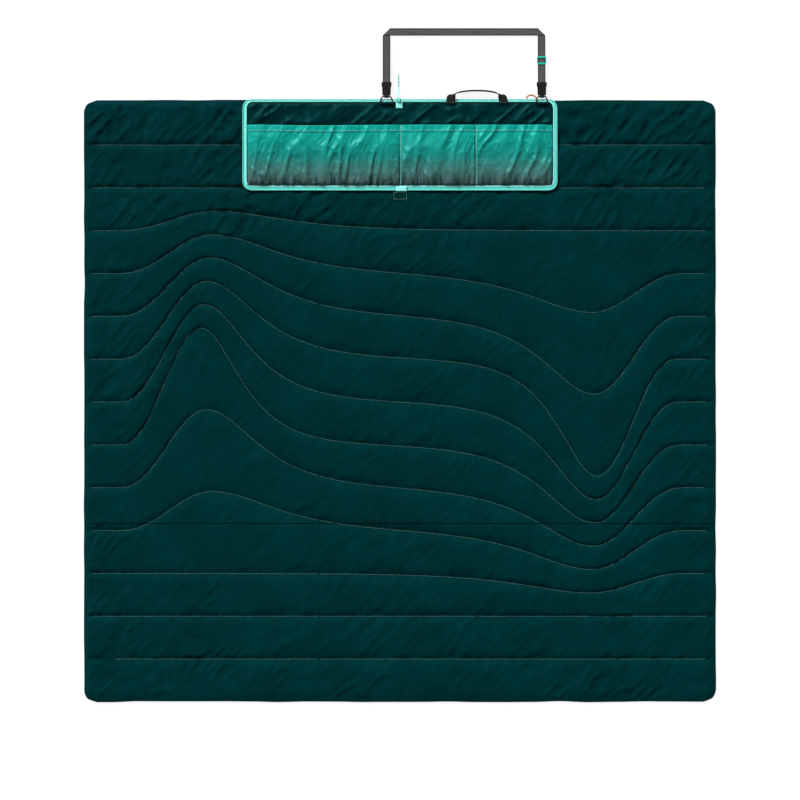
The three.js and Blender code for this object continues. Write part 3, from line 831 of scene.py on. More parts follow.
def final_columns():
    """Column places along X for the finished net: even, with many where the mat folds."""
    count = int(round(2 * MAT_HALF_X / (5 * MM))) + 1
    even = np.linspace(-MAT_HALF_X, MAT_HALF_X, count)
    folds = [np.linspace(a, b, 15) for a, b in (SIDE_FOLD, BOOK_FOLD)]
    folds.append(-folds[0])
    zones = [(-SIDE_FOLD[1], -SIDE_FOLD[0]), BOOK_FOLD, SIDE_FOLD, (-CUT_X, -CUT_X), (CUT_X, CUT_X)]
    for low, high in zones:
        even = even[(even < low - 1.5 * MM) | (even > high + 1.5 * MM)]
    return np.unique(np.concatenate([even, *folds, [-CUT_X, CUT_X]]))


COLUMNS = final_columns()


def refine(net, rows_per_row):
    """The net on the final columns, with more rows."""
    rows, cols = net.shape[:2]
    at_rows = np.linspace(0, rows - 1, int((rows - 1) * rows_per_row) + 1)
    at_cols = (COLUMNS + MAT_HALF_X) / (2 * MAT_HALF_X) * (cols - 1)
    finer = cubic(net, at_rows)
    return cubic(finer.swapaxes(0, 1), at_cols).swapaxes(0, 1)


def net_normals(net):
    """The upward normal at each point of a net."""
    normal = unit(np.cross(np.gradient(net, axis=1), np.gradient(net, axis=0)))
    return np.where(normal[..., 2:] < 0, -normal, normal)


QUILT_PARTS = [
    ("side_left", -MAT_HALF_X, -CUT_X, ("side_left", "left_half"), (-SIDE_FOLD[1], -SIDE_FOLD[0])),
    ("middle", -CUT_X, CUT_X, ("left_half", "right_half"), BOOK_FOLD),
    ("side_right", CUT_X, MAT_HALF_X, ("right_half", "side_right"), SIDE_FOLD),
]
QUILT_NODES = {
    "side_left": ["side_left", "left"],
    "middle": ["left", "right"],
    "side_right": ["right", "side_right"],
}


def bend_across(made):
    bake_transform(made)


def split_cloth(name, net, plan, slot, nodes, flip):
    """One cloth of the quilt in three pieces, so that each crosses only one fold."""
    normals = net_normals(net) * (-1 if flip else 1)
    for part, low, high, bodies, fold in QUILT_PARTS:
        held = np.flatnonzero((COLUMNS >= low - 1e-9) & (COLUMNS <= high + 1e-9))
        own = net[:, held]
        quads, corners = net_faces(*own.shape[:2], plan[:, held])
        if not flip:
            quads, corners = quads[:, ::-1], corners[:, ::-1]
        made = piece(f"{name}_{part}", own, quads, corners, LOOKS[slot], outward=False)
        made.data.normals_split_custom_set_from_vertices(normals[:, held].reshape(-1, 3).tolist())
        finished(made, [f"{node}_{side}" for node in nodes for side in QUILT_NODES[part]])
        bend_across(made)


def ridges(x, y, angle, cell, seed, sharp):
    """Long folds of cloth that run at an angle: sharp crests with soft ground between, from 0 to 1."""
    u = x * math.cos(angle) + y * math.sin(angle)
    v = y * math.cos(angle) - x * math.sin(angle)
    return (1 - np.abs(ripple(u / 3.2, v, cell, seed))) ** sharp


def crease(net, plan, lines):
    """Small folds in the finished top: more near the panel, along the edges and in the lower corners."""
    x, y = plan[..., 0], plan[..., 1]
    rim = np.minimum(half_width(y) - np.abs(x), MAT_HALF_Y - np.abs(y))
    near_panel = smooth(300 * MM, 40 * MM, panel_distance(x, y)) * smooth(330 * MM, 480 * MM, y)
    top_rows = smooth(380 * MM, 560 * MM, y)
    low_corner = smooth(-380 * MM, -620 * MM, y) * smooth(250 * MM, 600 * MM, np.abs(x))
    side = smooth(170 * MM, 20 * MM, rim)
    amount = 0.45 + np.maximum(1.3 * near_panel, 1.0 * top_rows) + 0.6 * low_corner + 0.4 * side
    patch = 0.35 + 0.65 * smooth(-0.5, 0.5, ripple(x, y, 95 * MM, 15))
    lift = 3.2 * ridges(x + 14 * MM * ripple(x, y, 70 * MM, 20), y, math.radians(50), 22 * MM, 11, 2.4) - 1.2
    lift += 2.4 * ridges(x, y, math.radians(112), 16 * MM, 16, 3.0) - 0.8
    lift += 1.6 * ripple(x, y, 26 * MM, 12) + 0.7 * ripple(x + 0.5 * y, y, 12 * MM, 19)
    to_line = np.full(y.shape, 1.0)
    for row in lines:
        to_line = np.minimum(to_line, np.abs(y - y[row]))
    pucker = ripple(x, 0.25 * y, 7 * MM, 17) + 0.6 * ripple(x + 0.4 * y, 0.3 * y, 11 * MM, 18)
    lift = 1.25 * lift * amount * patch * smooth(0, 12 * MM, to_line)
    lift += (0.9 + 0.8 * amount) * pucker * np.exp(-to_line / (17 * MM)) * smooth(0, 3 * MM, to_line)
    lift -= 1.6 * np.exp(-to_line / (5 * MM))
    net[..., 2] += lift * MM * smooth(0, 20 * MM, rim)
    wobble = 1.3 * MM * smooth(30 * MM, 0, rim)
    net[..., 0] += wobble * ripple(x, y, 55 * MM, 13)
    net[..., 1] += wobble * ripple(x, y, 70 * MM, 14)
    return net


def soften(z, ceiling, within):
    """Heights that ease into a ceiling instead of passing it."""
    start = ceiling - within
    return np.where(z > start, ceiling - within * np.exp(-np.maximum(z - start, 0) / within), z)


def make_quilt():
    net, plan, stitched = quilt_top()
    per_row = 2
    plan = refine(plan, per_row)
    top = refine(net, per_row)
    apart = panel_distance(plan[..., 0], plan[..., 1])
    # The outer strips meet face to face when the mat is folded up, so they stay lower than the middle.
    outward = smooth(SIDE_EASE_X, SIDE_FOLD[0], np.abs(plan[..., 0]))
    ceiling = TOP_CEILING + (SIDE_CEILING - TOP_CEILING) * outward
    ceiling = np.minimum(ceiling, PANEL_LOW.z - 0.4 * MM + 0.5 * apart)
    top[..., 2] = soften(top[..., 2], ceiling - 2.2 * MM, 2.5 * MM)
    top = crease(top, plan, [row * per_row for row in stitched])
    top[..., 2] = np.maximum(soften(top[..., 2], ceiling, 1.2 * MM), LEAST_HEIGHT)
    # The pinned outer row and column are the seam, where both cloths meet.
    split_cloth("quilt_top", top, plan, "top_cloth", ["top_shell", "fill"], False)

    every = 3
    picked = np.unique(np.concatenate([np.arange(0, len(top), every), [len(top) - 1]]))
    x, y = plan[picked, :, 0], plan[picked, :, 1]
    rim = np.minimum(half_width(y) - np.abs(x), MAT_HALF_Y - np.abs(y))
    distance = np.full(y.shape, 1.0)
    for row in stitched:
        line = plan[row * per_row, :, 1]
        distance = np.minimum(distance, np.abs(y - line))
    back_z = 0.3 * MM + 1.3 * MM * smooth(12 * MM, 0, distance)
    back_z += 0.25 * MM * (1 + ripple(x, y, 50 * MM, 21))
    seam = top[picked, :, 2]
    back_z = back_z + (seam - back_z) * smooth(16 * MM, 0, rim) ** 1.5
    back = np.dstack([top[picked, :, 0], top[picked, :, 1], np.minimum(back_z, seam)])
    split_cloth("quilt_back", back, plan[picked], "back_cloth", ["back_shell"], True)
    return top, plan, [row * per_row for row in stitched]


# ---- stitches ----

def stitches(name, paths, pitch, length, radius, look, sink=0.5):
    """Short thread stitches along each path: every one a small arched body that dives in at its ends."""
    starts, ends = [], []
    for path in paths:
        along = distances(path)
        first = np.arange(0, along[-1] - length, pitch)
        for places, store in ((first, starts), (first + length, ends)):
            store.append(points_at(places, along, path))
    start, end = np.concatenate(starts), np.concatenate(ends)
    direction = unit(end - start)
    side = unit(np.cross(direction, (0, 0, 1)))
    up = np.cross(side, direction)
    rings, sides = 4, 5
    t = np.linspace(0, 1, rings)
    lift = radius * (np.sin(math.pi * t) * (1 + sink) - sink)
    girth = np.where((t == 0) | (t == 1), 0.55, 1.0)
    turn = np.arange(sides) * 2 * math.pi / sides
    centre = start[:, None] + t[None, :, None] * (end - start)[:, None] + lift[None, :, None] * up[:, None]
    spread = np.cos(turn)[None, None, :, None] * side[:, None, None]
    spread = spread + np.sin(turn)[None, None, :, None] * up[:, None, None]
    points = centre[:, :, None] + radius * girth[None, :, None, None] * spread
    uv = plane_uv(np.linspace(0, 2 * math.pi * radius, sides + 1), np.linspace(0, length, rings))
    quads, corners = net_faces(rings, sides, uv, wrap_cols=True)
    caps = [list(range(sides))[::-1], list(range((rings - 1) * sides, rings * sides))]
    faces, uvs = [], []
    for number in range(len(start)):
        base = number * rings * sides
        faces.extend((quads + base).tolist())
        uvs.extend(corners)
        for cap in caps:
            faces.append([i + base for i in cap])
            uvs.append(np.zeros((sides, 2)))
    return piece(name, points, faces, uvs, LOOKS[look], outward=False)


def make_quilt_stitches(top, plan, rows):
    for part, low, high, bodies, fold in QUILT_PARTS:
        paths = []
        for number, row in enumerate(rows):
            x = plan[row, :, 0]
            held = (x >= low) & (x <= high) & on_line(x, number)
            if number < 2:
                held &= np.abs(x) > PANEL_HALF_X + 2 * MM
            paths.extend(runs(top[row], held))
        made = stitches(f"quilt_stitches_{part}", paths, 5.6 * MM, 4.3 * MM, 0.42 * MM, "mat_thread")
        made.location.z += 0.25 * MM
        finished(made)
        bend_across(made)


def runs(line, held):
    """The unbroken stretches of a line of points that are held."""
    edges = np.flatnonzero(np.diff(np.concatenate([[0], held.astype(int), [0]])))
    return [line[a:b] for a, b in zip(edges[::2], edges[1::2]) if b - a > 3]


def make_shell_seam(top, plan):
    """A narrow welt where the shell's two lengths of cloth are joined."""
    for part, low, high, bodies, fold in QUILT_PARTS:
        held = np.flatnonzero((COLUMNS >= low - 1e-9) & (COLUMNS <= high + 1e-9))
        strips = []
        for offset in (-1.4, -0.5, 0.5, 1.4):
            y = SHELL_SEAM_Y + offset * MM
            z = [np.interp(-y, -plan[:, c, 1], top[:, c, 2]) for c in held]
            x = [np.interp(-y, -plan[:, c, 1], top[:, c, 0]) for c in held]
            rise = (0.45 if abs(offset) < 1 else 0.0) * MM
            strips.append(np.stack([x, np.full(len(held), y), np.array(z) + rise], 1))
        upper = np.array(strips).swapaxes(0, 1)
        lower = upper - np.array([0, 0, 1.2 * MM])
        uv = np.stack([upper[..., 0], upper[..., 1]], -1)
        made = slab(f"shell_seam_{part}", upper, lower, uv, LOOKS["top_cloth"])
        finished(made)
        bend_across(made)


quilt, quilt_flat, stitch_rows = make_quilt()
make_quilt_stitches(quilt, quilt_flat, stitch_rows)
make_shell_seam(quilt, quilt_flat)


# ---- the pocket panel and its zip ----

PANEL_BASE = PANEL_LOW.z
PANEL_TOP_Y = PANEL_HIGH.y
PANEL_LOW_Y = PANEL_LOW.y
CLOTH_LOW, CLOTH_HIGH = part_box("panel_cloth_right")
TAPE_LOW, TAPE_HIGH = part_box("zip_tape_right")
BINDING_LOW, BINDING_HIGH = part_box("zip_binding_right")


def across_panel(half, step=4 * MM):
    """X places from -half to half, even but for many at the mat's middle fold."""
    even = np.linspace(-half, half, int(round(2 * half / step)) + 1)
    even = even[(even < BOOK_FOLD[0] - MM) | (even > BOOK_FOLD[1] + MM)]
    return np.unique(np.concatenate([even, np.linspace(*BOOK_FOLD, 13)]))


def on_panel(made, nodes=()):
    """Finishes a piece that lies on the panel: hides its CAD nodes and bakes its transform into the mesh."""
    finished(made, nodes)
    bend_across(made)


HANDLE_WIDTH = 21.5 * MM
FOLDS_CLEAR = (5 * MM, 18 * MM)
PANEL_SEAM_X = 265 * MM
PANEL_SEAM_FOOT_Y = 680 * MM
PANEL_SEAM_Z = 14.1 * MM


def make_panel_cloth():
    x = across_panel(CLOTH_HIGH.x)
    y = np.linspace(CLOTH_LOW.y, CLOTH_HIGH.y, 72)
    gx, gy = np.meshgrid(x, y)
    rim = np.minimum(CLOTH_HIGH.x - np.abs(gx), np.minimum(gy - CLOTH_LOW.y, CLOTH_HIGH.y - gy))
    folds = 6.5 * ridges(gx, gy, math.radians(40), 19 * MM, 31, 2.2) - 1.2
    folds += 3.0 * ridges(gx, gy, math.radians(100), 17 * MM, 33, 3) + 1.2 * ripple(gx, gy, 16 * MM, 32)
    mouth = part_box("pocket_front_right")[1].y
    folds = folds * smooth(mouth - 3 * MM, mouth + 7 * MM, gy) * smooth(0, 9 * MM, rim)
    sewn_on = [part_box(node) for node in ("zip_top_tab", "ring_sleeve_left", "ring_sleeve_right")]
    places = [(low.x, high.x, low.y) for low, high in sewn_on]
    low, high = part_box("handle_web")
    places += [(low.x, low.x + HANDLE_WIDTH, low.y), (high.x - HANDLE_WIDTH, high.x, low.y)]
    for left, right, foot in places:
        off_x = np.maximum(np.maximum(left - gx, gx - right), 0)
        folds = folds * smooth(*FOLDS_CLEAR, np.hypot(off_x, np.maximum(foot - gy, 0)))
    z = CLOTH_HIGH.z - 0.2 * MM + np.maximum(folds, -0.8) * MM
    top = np.dstack([gx, gy, z])
    bottom = np.dstack([gx, gy, np.full_like(gx, PANEL_BASE + 0.05 * MM)])
    made = slab("panel_back_cloth", top, bottom, np.dstack([gx, gy]), LOOKS["panel_cloth"])
    finished(made, ["panel_cloth_left", "panel_cloth_right"])
    bend_across(made)
    seam_y = np.linspace(PANEL_SEAM_FOOT_Y, CLOTH_HIGH.y - 8 * MM, 24)
    cloth_rise = z[:, np.abs(x - PANEL_SEAM_X).argmin()] - 13.9 * MM
    seam_z = PANEL_SEAM_Z + np.interp(seam_y, y, cloth_rise)
    seam = np.column_stack([np.full(24, PANEL_SEAM_X), seam_y, seam_z])
    strip = sweep("panel_seam", seam, ribbon(2.6 * MM, 0.8 * MM, 3), carried(seam, (0, 0, 1)),
                  LOOKS["panel_cloth"])
    finished(strip)
    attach(strip, "right_half")


CORNER_X = PANEL_HALF_X - 28 * MM
CORNER_LOW_Y = PANEL_LOW_Y + 28 * MM
CORNER_HIGH_Y = PANEL_TOP_Y - 28 * MM
# Below 1, so that the panel's corners are squarer than a quarter circle.
CORNER_SQUARE = 0.78


def panel_loop(half, low, high):
    """A round-cornered loop round the panel. All such loops match point by point."""
    flat = across_panel(CORNER_X, 3 * MM)
    rise = np.linspace(CORNER_LOW_Y, CORNER_HIGH_Y, 46)[1:-1]
    turn = np.linspace(0, math.pi / 2, 12)
    leaving, reaching = np.sin(turn) ** CORNER_SQUARE, np.sin(turn[::-1]) ** CORNER_SQUARE
    rx, ry_high, ry_low = half - CORNER_X, high - CORNER_HIGH_Y, CORNER_LOW_Y - low
    top = np.stack([flat[::-1], np.full(len(flat), high)], 1)
    left_top = np.stack([-CORNER_X - rx * leaving, CORNER_HIGH_Y + ry_high * reaching], 1)
    left = np.stack([np.full(len(rise), -half), rise[::-1]], 1)
    left_low = np.stack([-CORNER_X - rx * reaching, CORNER_LOW_Y - ry_low * leaving], 1)
    foot = np.stack([flat, np.full(len(flat), low)], 1)
    right_low = np.stack([CORNER_X + rx * leaving, CORNER_LOW_Y - ry_low * reaching], 1)
    right = np.stack([np.full(len(rise), half), rise], 1)
    right_top = np.stack([CORNER_X + rx * reaching, CORNER_HIGH_Y + ry_high * leaving], 1)
    return np.concatenate([top, left_top[1:], left, left_low, foot[1:], right_low[1:], right, right_top[:-1]])


def rim_strip(name, outer, inner, profile, base, look, pucker=0.0):
    """A band round the panel between two loops. profile pairs a share of the way in with a height in mm."""
    count = len(outer)
    steps = np.linalg.norm(np.diff(outer, axis=0, append=outer[:1]), axis=1)
    along = np.concatenate([[0], np.cumsum(steps)])
    shares = np.array([p[0] for p in profile])
    heights = np.array([p[1] for p in profile]) * MM
    flat = outer[:, None] + shares[None, :, None] * (inner - outer)[:, None]
    wave = ripple(flat[..., 0], flat[..., 1], 9 * MM, 41) + ripple(flat[..., 0], flat[..., 1], 23 * MM, 42)
    z = heights[None] + pucker * wave * np.sin(math.pi * shares)[None]
    top = np.dstack([flat, z])
    low = np.dstack([flat[:, ::-1], np.full((count, len(profile)), base)])
    ring = np.concatenate([top, low], 1)
    width = float(np.linalg.norm(inner[0] - outer[0]))
    u = width * np.concatenate([shares, shares[::-1], shares[:1]])
    quads, corners = net_faces(count, ring.shape[1], plane_uv(u, along), True, True)
    return piece(name, ring, list(quads), list(corners), look)


def halves_of(stem):
    return [f"{stem}_left", f"{stem}_right"]


GAP = 0.3 * MM
COIL_BED_PROFILE = [(0, 13.6), (0.2, 14.3), (0.5, 14.5), (0.8, 14.3), (1, 13.6)]
TAPE_PROFILE = [(0, 13.3), (0.15, 13.9), (0.4, 14.0), (0.7, 13.9), (1, 13.5)]
BINDING_PROFILE = [(0, 14.5), (0.12, 15.3), (0.4, 15.6), (0.7, 15.5), (0.9, 15.1), (1, 14.6)]
BINDING_WIDTH = 3.4 * MM
BINDING_BASE = 14.2 * MM


def make_zip():
    edge = 0.2 * MM
    teeth_width = PANEL_HALF_X - TAPE_HIGH.x - GAP
    outer = panel_loop(PANEL_HALF_X - edge, PANEL_LOW_Y + edge, PANEL_TOP_Y - edge)
    teeth_in = panel_loop(TAPE_HIGH.x + GAP, TAPE_LOW.y - GAP, TAPE_HIGH.y + GAP)
    tape_out = panel_loop(TAPE_HIGH.x, TAPE_LOW.y, TAPE_HIGH.y)
    tape_in = panel_loop(CLOTH_HIGH.x + GAP, CLOTH_LOW.y - GAP, CLOTH_HIGH.y + GAP)

    bed = rim_strip("zip_coil_bed", outer, teeth_in, COIL_BED_PROFILE, PANEL_BASE, LOOKS["zip_tape"])
    on_panel(bed, halves_of("zip_teeth"))
    make_teeth((outer + teeth_in) / 2, teeth_width)

    tape = rim_strip("zip_woven_tape", tape_out, tape_in, TAPE_PROFILE, PANEL_BASE, LOOKS["zip_tape"],
                     0.25 * MM)
    on_panel(tape, halves_of("zip_tape"))

    half, low, high = BINDING_HIGH.x, BINDING_LOW.y, BINDING_HIGH.y
    bind_out = panel_loop(half, low, high)
    bind_in = panel_loop(half - BINDING_WIDTH, low + BINDING_WIDTH, high - BINDING_WIDTH)
    edge_band = rim_strip("panel_binding", bind_out, bind_in, BINDING_PROFILE, BINDING_BASE,
                          LOOKS["zip_bright"], 0.2 * MM)
    on_panel(edge_band, halves_of("zip_binding"))


def make_teeth(loop, width):
    """The zip's coil: a small arched link every couple of millimetres."""
    path = np.column_stack([np.vstack([loop, loop[:1]]), np.full(len(loop) + 1, 14.6 * MM)])
    along = distances(path)
    places = np.arange(0, along[-1] - 2 * MM, 2.5 * MM)
    at = points_at(places, along, path)
    ahead = points_at(places + MM, along, path)
    direction = unit(ahead - at)
    across = np.cross(direction, (0, 0, 1))
    half = width / 2 - 0.15 * MM
    ends = at[:, None] + across[:, None] * np.array([-half, half])[None, :, None]
    made = stitches("zip_coil", ends, 1.0, 1.96 * half, 0.78 * MM, "zip_coil", 0.2)
    on_panel(made)


make_panel_cloth()
make_zip()


# ---- pockets ----

POCKET_LOW_BOX, POCKET_HIGH_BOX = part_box("pocket_front_right")
POCKET_HALF_X = POCKET_HIGH_BOX.x
POCKET_FOOT_Y = POCKET_LOW_BOX.y
POCKET_MOUTH_Y = POCKET_HIGH_BOX.y
DIVIDERS = (1 * MM, 189 * MM)
SEWN_Z = 15.2 * MM
HEM = 19 * MM
POCKET_BELLY = 20.5 * MM
POCKET_CEILING = 27 * MM


def pocket_distances(x, y):
    """How far up the pocket a point lies, from 0 to 1, and its distance from the nearest sewn line."""
    height = (y - POCKET_FOOT_Y) / (POCKET_MOUTH_Y - POCKET_FOOT_Y)
    sewn = np.minimum(POCKET_HALF_X - np.abs(x), y - POCKET_FOOT_Y)
    for divider in DIVIDERS:
        sewn = np.minimum(sewn, np.abs(x - divider))
    return height, sewn


def pocket_net():
    x = np.linspace(-POCKET_HALF_X, POCKET_HALF_X, 217)
    y = np.linspace(POCKET_MOUTH_Y, POCKET_FOOT_Y, 44)
    gx, gy = np.meshgrid(x, y)
    height, sewn = pocket_distances(gx, gy)
    full = smooth(0, 34 * MM, sewn) ** 0.8
    z = SEWN_Z + 4.2 * MM * full
    return x, y, np.dstack([gx, gy, z]), height, sewn


def pocket_folds(x, y, height, sewn):
    """Folds that hang from the mouth and gather into puckers at the foot and beside each sewn line."""
    lean = x - 0.2 * y + 20 * MM * ripple(x, y, 75 * MM, 50)
    long_folds = (1 - np.abs(ripple(lean, 0.25 * y, 23 * MM, 51))) ** 1.8
    cross = (1 - np.abs(ripple(x + 0.8 * y, 0.4 * y - 0.2 * x, 30 * MM, 52))) ** 2.4
    body = 8.0 * long_folds - 2.8 + 3.0 * cross
    body += 1.9 * (1 - np.abs(ripple(lean + 5 * MM * ripple(x, y, 22 * MM, 57), 0.4 * y, 10 * MM, 58))) ** 2
    body = body * (0.35 + 0.65 * np.sin(math.pi * np.clip(height * 0.96, 0, 1)) ** 0.6)
    gathered = (1 - np.abs(ripple(x, 0.2 * y, 7 * MM, 53))) ** 1.5
    foot = 4.2 * gathered * np.exp(-(y - POCKET_FOOT_Y) / (17 * MM))
    beside = 1.6 * ripple(0.3 * x, y, 7 * MM, 54) * np.exp(-sewn / (11 * MM))
    mouth = 0.9 * ripple(x, 0.6 * y, 8 * MM, 55) * smooth(0.75, 0.9, height)
    return (body + foot + beside + mouth) * MM * smooth(0, 5 * MM, sewn)


def make_pockets():
    x, y, net, height, sewn = pocket_net()
    pinned = sewn < 1.9 * MM
    net[..., 2] += np.where(pinned, 0, 0.6 * MM * ripple(net[..., 0], net[..., 1], 17 * MM, 56))
    slack = 0.012 + 0.014 * (1 - height)
    net = settle_net(net, pinned, slack, 10, 2.0, stiffness=10, bending=0.1)
    places = across_panel(POCKET_HALF_X, 2 * MM)
    at_cols = (places + POCKET_HALF_X) / (2 * POCKET_HALF_X) * (len(x) - 1)
    at_rows = np.linspace(0, len(y) - 1, 76)
    grid_x, grid_y = np.meshgrid(places, np.interp(at_rows, np.arange(len(y)), y))
    height_at, sewn_at = pocket_distances(grid_x, grid_y)
    finer = cubic(cubic(net, at_rows).swapaxes(0, 1), at_cols).swapaxes(0, 1)
    belly = soften(finer[..., 2], POCKET_BELLY, 2.5 * MM)
    belly += pocket_folds(grid_x, grid_y, height_at, sewn_at)
    finer[..., 2] = np.maximum(soften(belly, POCKET_CEILING, 3 * MM), SEWN_Z - 0.1 * MM)
    level = np.linspace(1, 0, len(at_rows))
    uv = np.stack(np.meshgrid(places, level), -1)
    under = finer - net_normals(finer) * 0.5 * MM
    made = slab("pocket_front", finer, under, uv, LOOKS["pocket_cloth"])
    finished(made, ["pocket_front_left", "pocket_front_right"])
    bend_across(made)

    hem_rows = int(round(HEM / (POCKET_MOUTH_Y - POCKET_FOOT_Y) * (len(at_rows) - 1))) + 1
    normals = net_normals(finer)
    lift = np.where(np.arange(hem_rows) < hem_rows - 1, 0.45, 0.1) * MM
    upper = finer[:hem_rows] + normals[:hem_rows] * lift[:, None, None]
    upper[0, :, 1] += 0.4 * MM
    lower = finer[:hem_rows] + normals[:hem_rows] * 0.05 * MM
    hem = slab("pocket_hem", upper, lower, uv[:hem_rows], LOOKS["pocket_cloth"])
    on_panel(hem)
    line = finer[hem_rows - 3] + normals[hem_rows - 3] * 0.75 * MM
    sewing = stitches("pocket_hem_stitches", [line], 3.4 * MM, 2.7 * MM, 0.45 * MM, "pale_thread")
    on_panel(sewing)

    for name, divider in zip(("middle", "right"), DIVIDERS):
        column = np.abs(places - divider).argmin()
        path = finer[::2, column] + np.array([0, 0, 0.55 * MM])
        tape = sweep(f"divider_seam_{name}", path, ribbon(2.6 * MM, 0.8 * MM, 4),
                     carried(path, (0, 0, 1)), LOOKS["divider_tape"])
        finished(tape)
        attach(tape, "right_half")
        rows = [path + np.array([side * 0.7 * MM, 0, 0.45 * MM]) for side in (-1, 1)]
        thread = stitches(f"divider_stitches_{name}", rows, 3.2 * MM, 2.4 * MM, 0.26 * MM, "pale_thread")
        finished(thread)
        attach(thread, "right_half")


make_pockets()


# ---- tabs, rings and sleeves ----

def make_tab(name, node, look, stitched):
    """A small doubled tab of cloth, a little crowned, with stitches round it."""
    low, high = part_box(node)
    x = np.linspace(low.x, high.x, 22)
    y = np.linspace(low.y, high.y, 16)
    gx, gy = np.meshgrid(x, y)
    rim = np.minimum(np.minimum(gx - low.x, high.x - gx), np.minimum(gy - low.y, high.y - gy))
    body = high.z - low.z
    crown = 0.35 * MM * ripple(gx, gy, 7 * MM, 61) + 0.3 * MM
    z = low.z + body * (0.7 + 0.3 * smooth(0, 0.7 * MM, rim)) + crown * smooth(0, 3 * MM, rim)
    top = np.dstack([gx, gy, z])
    bottom = np.dstack([gx, gy, np.full_like(gx, low.z)])
    made = slab(name, top, bottom, np.dstack([gx, gy]), LOOKS[look])
    on_panel(made, [node])
    if not stitched:
        return
    inset = 2.6 * MM
    lift = high.z + 0.55 * MM
    sides = rectangle_sides(low.x + inset, high.x - inset, low.y + inset, high.y - inset, lift)
    thread = stitches(f"{name}_stitches", sides, 3.4 * MM, 2.4 * MM, 0.32 * MM, "pale_thread")
    on_panel(thread)


make_tab("zip_tab_top", "zip_top_tab", "zip_bright", False)
make_tab("zip_tab_end", "zip_end_stop", "zip_bright", False)
make_tab("zip_tab_bottom", "zip_bottom_tab", "panel_cloth", True)

WIRE_R = 1.7 * MM


def make_ring(side, body):
    """Bent wire: a wide base bar in its sleeve and a narrower bar for the clip."""
    low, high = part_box(f"ring_{side}")
    x = (low.x + high.x) / 2
    z = (low.z + high.z) / 2
    base_y, bar_y = low.y + WIRE_R, high.y - WIRE_R
    base, bar = (high.x - low.x) / 2 - WIRE_R, 10.5 * MM
    corners = np.array([(x - base, base_y), (x + base, base_y), (x + bar, bar_y), (x - bar, bar_y)])
    points = []
    for k in range(4):
        here, before, after = corners[k], corners[k - 1], corners[(k + 1) % 4]
        bend = 3.4 * MM
        a = here + bend * (before - here) / np.linalg.norm(before - here)
        b = here + bend * (after - here) / np.linalg.norm(after - here)
        for t in np.linspace(0, 1, 9):
            points.append((1 - t) ** 2 * a + 2 * t * (1 - t) * here + t * t * b)
        for t in np.linspace(0, 1, 7)[1:-1]:
            nxt = after + bend * (here - after) / np.linalg.norm(here - after)
            points.append(b + t * (nxt - b))
    path = np.column_stack([np.array(points), np.full(len(points), z)])
    up = np.tile((0.0, 0.0, 1.0), (len(path), 1))
    ring = sweep(f"ring_wire_{side}", path, circle(WIRE_R, 14), up, LOOKS["ring_wire"], closed=True)
    finished(ring, [f"ring_{side}"])
    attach(ring, body)


def make_sleeve(side, body):
    """Webbing folded round the ring's base bar, with both ends sewn to the panel."""
    low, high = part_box(f"ring_sleeve_{side}")
    centre_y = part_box(f"ring_{side}")[0].y + WIRE_R
    centre_z = middle(f"ring_{side}").z
    r = high.z - centre_z - 0.55 * MM
    width = high.x - low.x - 2 * MM
    x = (low.x + high.x) / 2
    turn = np.linspace(-0.5 * math.pi, 0.75 * math.pi, 22)
    wrap = [(x, centre_y + r * math.cos(a), centre_z + r * math.sin(a)) for a in turn]
    tail_z = low.z + 0.55 * MM
    last = wrap[-1]
    run, drop = low.y + 1.5 * MM - last[1], tail_z + 0.6 * MM - last[2]
    slope = [(x, last[1] + t * run, last[2] + smooth(0, 1, t) * drop) for t in np.linspace(0.15, 1, 10)]
    under_y = low.y + 3.5 * MM
    back = centre_y - low.y - 3.5 * MM
    under = [(x, under_y + t * back, wrap[0][2]) for t in np.linspace(0, 0.9, 6)]
    path = even_path(np.array([*under, *wrap, *slope]), 0.6 * MM)
    made = sweep(f"ring_sleeve_web_{side}", path, ribbon(width, 1.0 * MM, 8), carried(path, (0, 0, -1)),
                 LOOKS["panel_cloth"])
    finished(made, [f"ring_sleeve_{side}"])
    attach(made, body)


make_ring("left", "ring_left")
make_ring("right", "ring_right")
make_sleeve("left", "left_half")
make_sleeve("right", "right_half")


# ---- the carry strap, laid out in its own tilted plane ----

STRAP_TILT = math.radians(5.5)
HINGE_Y = 757.5 * MM
HINGE_Z = 18 * MM
ALONG = np.array([0, math.cos(STRAP_TILT), -math.sin(STRAP_TILT)])
OUT = np.array([0, math.sin(STRAP_TILT), math.cos(STRAP_TILT)])
WEB_HALF = 9.5 * MM
WEB_R = 0.7 * MM
LEFT_X = middle("ring_left").x
RIGHT_X = middle("ring_right").x
LEG_START = 28 * MM
BAR_INNER = 154.4 * MM
STRAP_FOLD = (-20.5 * MM, 19.5 * MM)
CREASE_REACH = 30 * MM
RETURN_END = 88.7 * MM
RETURN_DEPTH = 1.72 * MM


def strap_points(x, along, out):
    """Points of the tilted strap: x across, a distance along a leg and a height off its middle layer."""
    start = np.array([0, HINGE_Y, HINGE_Z])
    flat = np.stack([x, np.zeros_like(x), np.zeros_like(x)], -1)
    return start + flat + along[..., None] * ALONG + out[..., None] * OUT


def web_slab(name, x, along, out, uv):
    """A strip of the strap's webbing, with its two edges rounded off."""
    edge = np.minimum(uv[..., 0], 2 * WEB_HALF - uv[..., 0])
    round_off = WEB_R * np.sqrt(np.clip(1 - (1 - np.clip(edge / WEB_R, 0, 1)) ** 2, 0.05, 1))
    top = strap_points(x, along, out + round_off)
    bottom = strap_points(x, along, out - round_off)
    return slab(name, top, bottom, uv, LOOKS["strap_web"])


def web_across():
    e = np.array([0, 0.15, 0.4, 0.8]) * MM
    return np.concatenate([e, np.linspace(1.6 * MM, 2 * WEB_HALF - 1.6 * MM, 9), 2 * WEB_HALF - e[::-1]])


